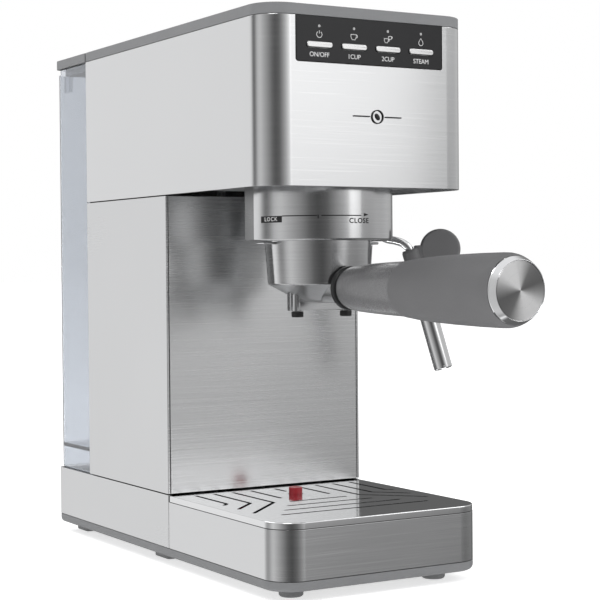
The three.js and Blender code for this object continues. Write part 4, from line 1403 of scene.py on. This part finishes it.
@dataclass
class SteamWand:
    """Bent pipe with a grip, a thumb paddle and a steel sleeve."""

    finish: Palette
    turn: float = -30.7
    lean: float = 15.3
    reach: float = 21.8

    def build(self) -> None:
        """Make the wand and its nut."""
        nut = DATUM.box("pipe_nut")
        pipe_box = DATUM.box("steam_pipe")
        head = nut.z1 + 0.3
        bend = head - 37.0
        place = (Matrix.Translation((nut.centre.x, nut.centre.y, 0.0))
                 @ Matrix.Rotation(math.radians(self.turn), 4, "Z"))
        straight = (place @ Matrix.Translation((self.reach, 0.0, bend))
                    @ Matrix.Rotation(math.radians(-self.lean), 4, "Y"))
        a = math.radians(self.lean)

        def along(t: float) -> Point:
            """Point of the straight part, t below the bend."""
            return (self.reach + t * math.sin(a), 0.0, bend - t * math.cos(a))

        line = [(0.0, 0.0, pipe_box.z1), (0.0, 0.0, head), (0.0, 0.0, head - 12.0),
                (0.0, 0.0, head - 20.0), (1.8, 0.0, head - 24.8), (6.4, 0.0, head - 27.6),
                (12.0, 0.0, head - 28.8), (17.2, 0.0, head - 30.8), along(-2.2), along(8.0),
                along(36.0), along(68.0)]
        Piece("steam_pipe_bend", moved(pipe(line, 2.5, 16), place)).fit(
            "wand", "mirror", self.finish.chrome, ["steam_pipe"])
        barrel = turned([(2.7, -30.0), (4.9, -30.0), (5.5, -28.5), (5.5, 1.0), (4.9, 2.6),
                         (2.7, 2.6), (2.7, -30.0)], (0.0, 0.0, 0.0), 48, 0.3)
        paddle = turned([(0.0, -2.6), (11.6, -2.6), (12.7, -1.4), (12.7, 1.4), (11.6, 2.6),
                         (0.0, 2.6)], (0.0, 0.0, 0.0), 72, 0.35)
        moved(paddle, Matrix.Translation((18.3, 0.0, -2.1))
              @ Matrix.Rotation(math.pi / 2, 4, "X"))
        web = eased(brick(Box(2.0, 12.0, -2.4, 2.4, -7.0, 5.0)), 0.8, 3)
        moved(web, Matrix.Rotation(math.radians(12), 4, "Y"))
        Piece("wand_grip_paddle", moved(merged(barrel, paddle, web), straight)).fit(
            "wand", "grip", self.finish.grip, ["wand_grip"])
        sleeve = turned([(2.8, -30.3), (5.3, -30.3), (5.8, -31.0), (5.8, -74.2), (5.3, -75.0),
                         (4.5, -75.0), (4.5, -69.6), (2.8, -69.6), (2.8, -30.3)],
                        (0.0, 0.0, 0.0), 56, 0.2)
        piece = Piece("wand_sleeve_tube", sleeve)
        piece.cut(brick(Box(-1.5, 1.5, -8.0, -1.0, -78.0, -72.6)))
        piece.ease(0.15)
        piece.bake()
        piece.thing.data.transform(straight)
        piece.fit("wand", "mirror", self.finish.chrome, ["wand_sleeve"])
        self._nut(nut)

    def _nut(self, box: Box) -> None:
        """Hexagonal nut where the pipe enters the head."""
        bm = bmesh.new()
        bmesh.ops.create_circle(bm, cap_ends=True, segments=6, radius=6.2)
        raised(bm, bm.faces[:][0], box.z1 - box.z0)
        bmesh.ops.recalc_face_normals(bm, faces=bm.faces)
        eased(bm, 0.5, 2)
        moved(bm, Matrix.Translation((box.centre.x, box.centre.y, box.z0)))
        piece = Piece("pipe_nut_hex", bm)
        piece.cut(turned([(0.0, -1.0), (2.7, -1.0), (2.7, 12.0), (0.0, 12.0)],
                         (box.centre.x, box.centre.y, box.z0), 28))
        piece.fit("housing", "mirror", self.finish.chrome, ["pipe_nut"])


@dataclass
class SteamKnob:
    """Fluted knob on the head's right side with a pointer line."""

    finish: Palette
    flutes: int = 18

    def build(self) -> None:
        """Make the knob and its pointer."""
        box = DATUM.box("steam_knob")
        r = (box.z1 - box.z0) / 2
        side = DATUM.box("head_shell").x1 + 0.3
        place = (Matrix.Translation((side, box.centre.y, box.centre.z))
                 @ Matrix.Rotation(math.pi / 2, 4, "Y"))
        body = turned([(2.8, -2.0), (5.8, -2.0), (5.8, 1.0), (r - 1.2, 1.0), (r, 2.4),
                       (r - 0.5, 14.0), (r - 1.6, 18.4), (r - 4.0, 20.6), (r - 7.5, 21.0),
                       (r - 8.5, 20.2), (0.0, 20.0), (0.0, 12.0), (2.8, 12.0), (2.8, -2.0)],
                      (0.0, 0.0, 0.0), 96, 0.3)
        piece = Piece("steam_knob_cap", body)
        grooves = []
        for i in range(self.flutes):
            turn = 2 * math.pi * i / self.flutes
            grooves.append(turned([(0.0, 4.5), (1.7, 4.5), (1.7, 24.0), (0.0, 24.0)],
                                  ((r + 0.9) * math.cos(turn), (r + 0.9) * math.sin(turn), 0.0),
                                  16))
        piece.cut(merged(*grooves)).ease(0.3)
        piece.bake()
        piece.thing.data.transform(place)
        piece.fit("knob", "grip", self.finish.grip, ["steam_knob"])
        line = capsule((0.0, 3.0), (0.0, r - 9.6), 1.1, 20.0, 20.35)
        Piece("knob_pointer", moved(line, place @ Matrix.Rotation(math.pi / 2, 4, "Z"))).fit(
            "knob", "grip", self.finish.white)


# ---- Water tank -----------------------------------------------------------


@dataclass
class WaterTank:
    """Clear tank and its moulded lid."""

    finish: Palette
    wall: float = 1.8

    def build(self) -> None:
        """Make the tank and the lid."""
        self._tank()
        self._lid()

    def _tank(self) -> None:
        """Wall with a raised floor, a recess below and a relief for the lid's hinge."""
        box = DATUM.box("water_tank")
        deck = DATUM.box("tank_deck")
        z0 = deck.z1 + 0.6
        cap = DATUM.box("top_cover").z0
        top = cap - 0.9
        relief = cap - 4.0
        pivot_y, pivot_z = box.y1 - 3.6, cap + 1.2
        bm = slab((box.x0, box.y0), (box.x1, box.y1), z0, top, 2.0, 4.0, 6)
        eased(bm, 0.9, 3, 30.0, level_edges(bm, z0))
        piece = Piece("tank_body", bm)
        w = self.wall
        floor = z0 + 14.7
        piece.cut(slab((box.x0 + w, box.y0 + w), (box.x1 - w, box.y1 - w), floor + 2.2, top + 5,
                       1.4, 2.8, 6))
        piece.cut(slab((box.x0 + w, box.y0 + w), (box.x1 - w, box.y1 - w), z0 - 5, floor,
                       1.4, 2.8, 6))
        piece.cut(brick(Box(box.x0 - 2, box.x1 + 2, pivot_y - 2.0, box.y1 + 2, relief, top + 4)))
        middle = box.centre
        piece.cut(turned([(0.0, floor - 3), (10.4, floor - 3), (10.4, floor + 6), (0.0, floor + 6)],
                         (0.0, middle.y, 0.0), 48))
        piece.ease(0.3, 2)
        piece.fit("tank", "clear", self.finish.tank)
        nose = turned([(5.0, box.z0), (9.4, box.z0), (10.3, box.z0 + 1.0), (10.3, floor + 2.2),
                       (5.0, floor + 2.2), (5.0, box.z0)], (0.0, middle.y, 0.0), 56, 0.3)
        parts = [nose]
        for side in (-1, 1):
            x = side * 61.5
            root = brick(Box(x - 1.5, x + 1.5, pivot_y - 6.4, box.y1 - 1.0, relief - 12.0,
                             relief - 0.3))
            neck = brick(Box(x - 1.5, x + 1.5, pivot_y - 6.4, pivot_y - 2.0, relief - 1.0,
                             pivot_z + 1.6))
            eye = turned([(1.6, -1.5), (2.6, -1.5), (2.6, 1.5), (1.6, 1.5), (1.6, -1.5)],
                         (0.0, 0.0, 0.0), 28)
            moved(eye, Matrix.Translation((x, pivot_y, pivot_z))
                  @ Matrix.Rotation(math.pi / 2, 4, "Y"))
            parts += [eased(root, 0.4), eased(neck, 0.4), eye]
        Piece("tank_outlet_and_ears", merged(*parts)).fit(
            "tank", "clear", self.finish.tank, ["water_tank"])

    def _lid(self) -> None:
        """Lid with a plug below and a finger dip at the back."""
        box = DATUM.box("tank_lid")
        cover = DATUM.box("top_cover")
        bm = slab((box.x0, box.y0), (box.x1, box.y1), cover.z0, cover.z1, 0.6, 4.0, 8)
        eased(bm, 1.0, 4, 30.0, level_edges(bm, cover.z1))
        hollowed(bm, 1.6, 4.2, top=False)
        piece = Piece("tank_lid_moulding", bm)
        dip = bmesh.new()
        bmesh.ops.create_uvsphere(dip, u_segments=32, v_segments=16, radius=1.0)
        moved(dip, Matrix.Translation((0.0, box.centre.y + 6.0, cover.z1 + 4.6))
              @ Matrix.Diagonal((24.0, 14.0, 5.8, 1.0)))
        piece.cut(dip).ease(0.25)
        piece.fit("tank_lid", "grey", self.finish.grey)
        tank = DATUM.box("water_tank")
        x = tank.x1 - 2.6
        plug = slab((-x, tank.y0 + 2.6), (x, tank.y1 - 10.6), box.z0, cover.z0 + 4.3, 1.0, 1.0, 4)
        hollowed(plug, 1.5, 9.0, top=False)
        parts = [plug]
        for side in (-1, 1):
            lug = slab((-3.0, -2.3), (2.4, 2.3), -1.5, 1.5, 0.0, 2.2, 6)
            pin = turned([(0.0, -1.0), (1.3, -1.0), (1.3, 4.6), (0.0, 4.6)], (0.0, 0.0, 0.0), 20)
            turn = Matrix.Rotation(side * math.pi / 2, 4, "Y")
            parts.append(moved(merged(lug, pin), Matrix.Translation(
                (side * 58.0, tank.y1 - 3.6, cover.z0 + 1.2)) @ turn))
        Piece("tank_lid_plug", merged(*parts)).fit("tank_lid", "grey", self.finish.grey,
                                                   ["tank_lid"])


# ---- Drip tray ------------------------------------------------------------


@dataclass
class DripTray:
    """Steel band, black pan, slotted grate and the float."""

    finish: Palette
    corner: float = 17.5
    slot: float = 2.4
    pitch: float = 13.0
    first: float = 17.2
    rear: float = -10.5
    edge: float = 10.0

    def build(self) -> None:
        """Make every piece of the tray."""
        self._band()
        self._pan()
        self._grate()
        self._float()

    def _band(self) -> None:
        """Steel band round the front and the sides."""
        box = DATUM.box("tray_shell")
        t = 1.5
        piece = Piece("tray_band", slab((box.x0, box.y0), (box.x1, box.y1), box.z0, box.z1,
                                        self.corner, 0.0, 24))
        piece.cut(slab((box.x0 + t, box.y0 + t), (box.x1 - t, box.y1 + 5), box.z0 - 1,
                       box.z1 + 1, self.corner - t, 0.0, 24))
        piece.ease(0.3, 2).fit("tray", "front_steel", self.finish.tray, ["tray_shell"])

    def _pan(self) -> None:
        """Open black pan inside the band."""
        box = DATUM.box("tray_pan")
        bm = slab((box.x0, box.y0), (box.x1, box.y1), box.z0, box.z1, self.corner - 1.8, 0.0, 12)
        hollowed(bm, 1.8, box.z1 - box.z0 - 2.0)
        eased(bm, 0.5, 2)
        Piece("tray_pan_moulding", bm).fit("tray", "black_matt", self.finish.pan, ["tray_pan"])

    def _runs(self, half: float, front: float) -> tuple[list[tuple[Flat, Flat]],
                                                        list[tuple[Flat, Flat]]]:
        """Slots of the grate: straight ones, and those that lean out to the sides."""
        edge = half - self.edge
        straight: list[tuple[Flat, Flat]] = [((0.0, self.rear), (0.0, self.rear - self.pitch))]
        leaning: list[tuple[Flat, Flat]] = []
        x = self.first
        while x < edge - self.slot:
            outer = x > 2 * self.pitch
            bend = self.rear - (38.9 + 0.4 * (edge - x) if outer else 36.5)
            for side in (-1, 1):
                straight.append(((side * x, self.rear), (side * x, bend)))
                if outer:
                    leaning.append(((side * x, bend), (side * edge, bend - (edge - x))))
            x += self.pitch
        for row in range(4):
            reach, y = 19 + row * 10.2, front + 73 - row * 14.2
            straight.append(((-reach, y), (reach, y)))
        return straight, leaning

    def _grate(self) -> None:
        """Polished plate with a turned-down rim and rounded slots."""
        box = DATUM.box("drip_grate")
        bm = slab((box.x0, box.y0), (box.x1, box.y1), box.z0, box.z1, self.corner - 0.2, 0.0, 24)
        eased(bm, 0.6, 3, 30.0, level_edges(bm, box.z1))
        hollowed(bm, 1.6, box.z1 - box.z0 - 1.5, top=False)
        piece = Piece("drip_grate_plate", bm)
        half = (box.x1 - box.x0) / 2 + 0.2
        for runs in self._runs(half, box.y0 - 0.2):
            piece.cut(merged(*(capsule(a, b, self.slot, box.z0 - 1, box.z1 + 1)
                               for a, b in runs)))
        middle = DATUM.box("drip_float").centre
        piece.cut(turned([(0.0, box.z0 - 1), (4.8, box.z0 - 1), (4.8, box.z1 + 1),
                          (0.0, box.z1 + 1)], (middle.x, middle.y, 0.0), 40))
        piece.ease(0.6, 3).fit("grate", "mirror", self.finish.chrome, ["drip_grate"])

    def _float(self) -> None:
        """Red float: a short post on a wider pad."""
        box = DATUM.box("drip_float")
        r = 4.2
        pad = (box.x1 - box.x0) / 2
        profile = [(0.0, box.z1 - 0.3), (r - 1.2, box.z1 - 0.3), (r - 0.7, box.z1),
                   (r - 0.3, box.z1), (r, box.z1 - 0.5), (r, box.z0 + 5.7), (pad - 1, box.z0 + 5.7),
                   (pad, box.z0 + 4.7), (pad, box.z0), (0.0, box.z0)]
        Piece("drip_float_post", turned(profile, (box.centre.x, box.centre.y, 0.0), 56, 0.2)).fit(
            "float", "red", self.finish.red, ["drip_float"])


# ---- Carried-over nodes and the studio ------------------------------------


class Carried(Enum):
    """CAD nodes whose shapes stay, with the palette field that finishes each."""

    cord_gland = "rubber"
    tank_deck = "grey"
    back_wall = "grey"
    control_board = "board"
    group_head = "brass"
    group_gasket = "rubber"
    shower_screen = "chrome"
    boiler = "satin"
    pump = "grey"
    pump_bracket = "side"
    suction_hose = "hose"
    pressure_hose = "hose"
    steam_valve = "brass"
    valve_spindle = "satin"
    tank_valve = "black"
    filter_basket = "chrome"


def dress_carried(finish: Palette) -> None:
    """Give each carried-over CAD node its finish."""
    for node in Carried:
        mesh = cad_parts[node.name].data
        mesh.materials.clear()
        mesh.materials.append(getattr(finish, node.value))
        LOG.info("%s: CAD shape, finished as %s", node.name, node.value)


@dataclass
class Studio:
    """Camera, pale floor and soft light."""

    lens: float = 96.8
    yaw: float = 30.6715
    pitch: float = -1.1699
    roll: float = -0.4627
    stand: Point = (-506.145, -896.596, 185.4)
    card_level: float = 0.4

    def build(self) -> None:
        """Set up the camera, the floor, the lamps and the surroundings."""
        scene = bpy.context.scene
        scene.view_settings.view_transform = "Standard"
        scene.view_settings.look = "None"
        self._camera(scene)
        self._floor()
        self._lamps()
        self._world(scene)

    def _camera(self, scene: bpy.types.Scene) -> None:
        """Stand the camera where the machine is seen from."""
        data = bpy.data.cameras.new("camera")
        data.lens = self.lens
        data.sensor_width = 36.0
        data.clip_start = 0.01
        camera = bpy.data.objects.new("camera", data)
        yaw, pitch, roll = (math.radians(a) for a in (self.yaw, self.pitch, self.roll))
        ahead = Vector((math.sin(yaw) * math.cos(pitch), math.cos(yaw) * math.cos(pitch),
                        math.sin(pitch)))
        right = Vector((math.cos(yaw), -math.sin(yaw), 0.0))
        up = right.cross(ahead)
        c, s = math.cos(roll), math.sin(roll)
        axes = Matrix((c * right + s * up, -s * right + c * up, -ahead)).transposed()
        camera.matrix_world = Matrix.Translation(DATUM.point(*self.stand)) @ axes.to_4x4()
        scene.collection.objects.link(camera)
        scene.camera = camera

    def _floor(self) -> None:
        """Lay a wide pale floor."""
        bm = bmesh.new()
        bmesh.ops.create_grid(bm, x_segments=2, y_segments=2, size=20.0)
        mesh = bpy.data.meshes.new("studio_floor")
        bm.to_mesh(mesh)
        bm.free()
        floor = bpy.data.objects.new("studio_floor", mesh)
        bpy.context.scene.collection.objects.link(floor)
        graph = Graph("pale_floor")
        cloud = graph.noise(graph.coords, scale=3.0, detail=2.0)
        base = graph.blend(cloud, (0.9, 0.9, 0.9, 1.0), (0.93, 0.93, 0.93, 1.0))
        graph.set(Base_Color=base, Roughness=0.9, Emission_Color=(1.0, 1.0, 1.0, 1.0),
                  Emission_Strength=0.6)
        mesh.materials.append(graph.material)
        floor.visible_glossy = False

    def _lamps(self) -> None:
        """Hang three soft lamps round the machine."""
        lamps = (
            ("key", (-1.1, -1.2, 1.9), 1.2, 14.0),
            ("fill", (1.5, -0.9, 1.4), 1.0, 6.0),
            ("back", (-0.6, 1.5, 1.8), 1.2, 9.0),
        )
        for name, place, size, power in lamps:
            data = bpy.data.lights.new(name, "AREA")
            data.shape = "DISK"
            data.size = size
            data.energy = power
            lamp = bpy.data.objects.new(name, data)
            lamp.location = place
            lamp.rotation_euler = (Vector((0.0, 0.0, 0.15)) - Vector(place)).to_track_quat(
                "-Z", "Y").to_euler()
            bpy.context.scene.collection.objects.link(lamp)
        self._card()

    def _card(self) -> None:
        """Stand a pale card before the head, for the bright left part of its front."""
        data = bpy.data.lights.new("card", "AREA")
        data.shape = "RECTANGLE"
        data.size, data.size_y = 0.19, 0.3
        data.energy = self.card_level * math.pi * data.size * data.size_y
        card = bpy.data.objects.new("card", data)
        card.location = DATUM.point(218.0, -544.0, 345.0)
        aim = DATUM.point(-20.0, -125.0, 260.0) - card.location
        card.rotation_euler = aim.to_track_quat("-Z", "Y").to_euler()
        bpy.context.scene.collection.objects.link(card)

    def _world(self, scene: bpy.types.Scene) -> None:
        """Surround the machine with soft light, brighter and darker by bearing and height."""
        world = bpy.data.worlds.new("studio")
        world.use_nodes = True
        self.tree = world.node_tree
        self.tree.nodes.clear()
        coords = self._add("ShaderNodeTexCoord").outputs["Generated"]
        parts = self._add("ShaderNodeSeparateXYZ", {0: coords}).outputs
        left, ahead = (self._sum("MULTIPLY", part, -1.0) for part in parts[:2])
        bearing = self._sum("ARCTAN2", left, ahead)
        share = self._sum("MULTIPLY_ADD", bearing, 1 / (2 * math.pi), 0.5)
        low, high = (self._ring(share, levels) for levels in (self.low_ring(), self.high_ring()))
        rise = self._step(parts[2], -0.17, 0.1)
        overhead = self._step(parts[2], 0.45, 0.85)
        level = self._sum("MULTIPLY", self._step(parts[2], -0.05, -0.012),
                          self._sum("SUBTRACT", 1.0, self._step(parts[2], 0.01, 0.05)))
        dim = self._mix(level, (1.0, 1.0, 1.0, 1.0), self._ring(share, self.dim_ring()))
        sides = self._mix(1.0, self._mix(rise, low, high), dim, "MULTIPLY")
        light = self._mix(overhead, sides, (0.8, 0.8, 0.81, 1.0))
        seen = self._add("ShaderNodeBackground", {"Color": (1.0, 1.0, 1.0, 1.0)})
        glow = self._add("ShaderNodeBackground", {"Color": light})
        path = self._add("ShaderNodeLightPath")
        clear = self._sum("MAXIMUM", path.outputs["Is Camera Ray"],
                          path.outputs["Is Transmission Ray"])
        pick = self._add("ShaderNodeMixShader", {0: clear,
                                                 1: glow.outputs[0], 2: seen.outputs[0]})
        self._add("ShaderNodeOutputWorld", {"Surface": pick.outputs[0]})
        scene.world = world

    def _add(self, kind: str, inputs: dict[int | str, object] | None = None) -> bpy.types.Node:
        """Add a node to the world and fill its inputs."""
        made = self.tree.nodes.new(kind)
        for key, value in (inputs or {}).items():
            if isinstance(value, bpy.types.NodeSocket):
                self.tree.links.new(value, made.inputs[key])
            else:
                made.inputs[key].default_value = value
        return made

    def _sum(self, operation: str, *values: object) -> bpy.types.NodeSocket:
        """One arithmetic step in the world."""
        made = self._add("ShaderNodeMath", dict(enumerate(values)))
        made.operation = operation
        return made.outputs[0]

    def _step(self, value: bpy.types.NodeSocket, start: float, end: float) -> bpy.types.NodeSocket:
        """Smooth step from 0 at start to 1 at end."""
        made = self._add("ShaderNodeMapRange", {"Value": value, "From Min": start,
                                                "From Max": end})
        made.interpolation_type = "SMOOTHSTEP"
        return made.outputs[0]

    def _mix(self, share: object, a: object, b: object, way: str = "MIX") -> bpy.types.NodeSocket:
        """Mix two colours in the world."""
        made = self.tree.nodes.new("ShaderNodeMix")
        made.data_type = "RGBA"
        made.blend_type = way
        for index, value in ((0, share), (6, a), (7, b)):
            if isinstance(value, bpy.types.NodeSocket):
                self.tree.links.new(value, made.inputs[index])
            else:
                made.inputs[index].default_value = value
        return made.outputs[2]

    def _ring(self, share: bpy.types.NodeSocket, levels: Sequence[Flat]) -> bpy.types.NodeSocket:
        """Brightness all round, from bearings and levels."""
        ramp = self._add("ShaderNodeValToRGB", {0: share})
        ramp.color_ramp.interpolation = "LINEAR"
        elements = ramp.color_ramp.elements
        elements[0].position, elements[1].position = 0.0, 1.0
        for angle, _ in levels[1:-1]:
            elements.new((angle + 180) / 360)
        for element, (_, level) in zip(elements, levels):
            element.color = (level, level, level * 1.004, 1.0)
        return ramp.outputs[0]

    @staticmethod
    def high_ring() -> list[Flat]:
        """Levels above the horizon, by bearing in degrees from the front towards the left."""
        return [(-180, 0.45), (-168, 0.22), (-155, 0.12), (-140, 0.12), (-128, 0.24), (-118, 0.5),
                (-100, 0.56), (-82, 0.5), (-64, 0.5), (-45, 0.52), (-37, 0.56), (-33, 0.66),
                (-29, 0.82), (-24, 0.95), (-16, 0.8), (-6, 0.5), (6, 0.28), (18, 0.12),
                (32, 0.07), (44, 0.11), (60, 0.27), (76, 0.42), (92, 0.6), (104, 0.5),
                (113, 0.2), (121, 0.09), (128, 0.34), (136, 0.74), (158, 0.82), (168, 0.7),
                (180, 0.45)]

    @staticmethod
    def dim_ring() -> list[Flat]:
        """Share of the light that is left in a narrow band at the horizon."""
        return [(-180, 1.0), (-70, 1.0), (-52, 0.62), (-8, 0.62), (4, 1.0), (180, 1.0)]

    @staticmethod
    def low_ring() -> list[Flat]:
        """Levels below the horizon."""
        return [(-180, 0.35), (-160, 0.14), (-120, 0.12), (-100, 0.2), (-60, 0.14), (-38, 0.18),
                (-30, 0.28), (-24, 0.36), (-12, 0.24), (4, 0.12), (24, 0.07), (40, 0.12),
                (60, 0.28),
                (78, 0.44), (96, 0.6), (106, 0.5), (116, 0.36), (126, 0.36), (134, 0.55),
                (142, 0.8), (160, 0.8), (180, 0.35)]


def main() -> None:
    """Build the machine, sub-assembly by sub-assembly, then the studio."""
    logging.basicConfig(level=logging.INFO, format="%(message)s")
    finish = Palette()
    for part in (Base(finish), Column(finish), Head(finish), ControlPanel(finish),
                 BrewGroup(finish), Portafilter(finish), SteamWand(finish), SteamKnob(finish),
                 WaterTank(finish), DripTray(finish)):
        part.build()
        LOG.info("%s done", type(part).__name__)
    dress_carried(finish)
    Studio().build()


if __name__ == "__main__":
    main()
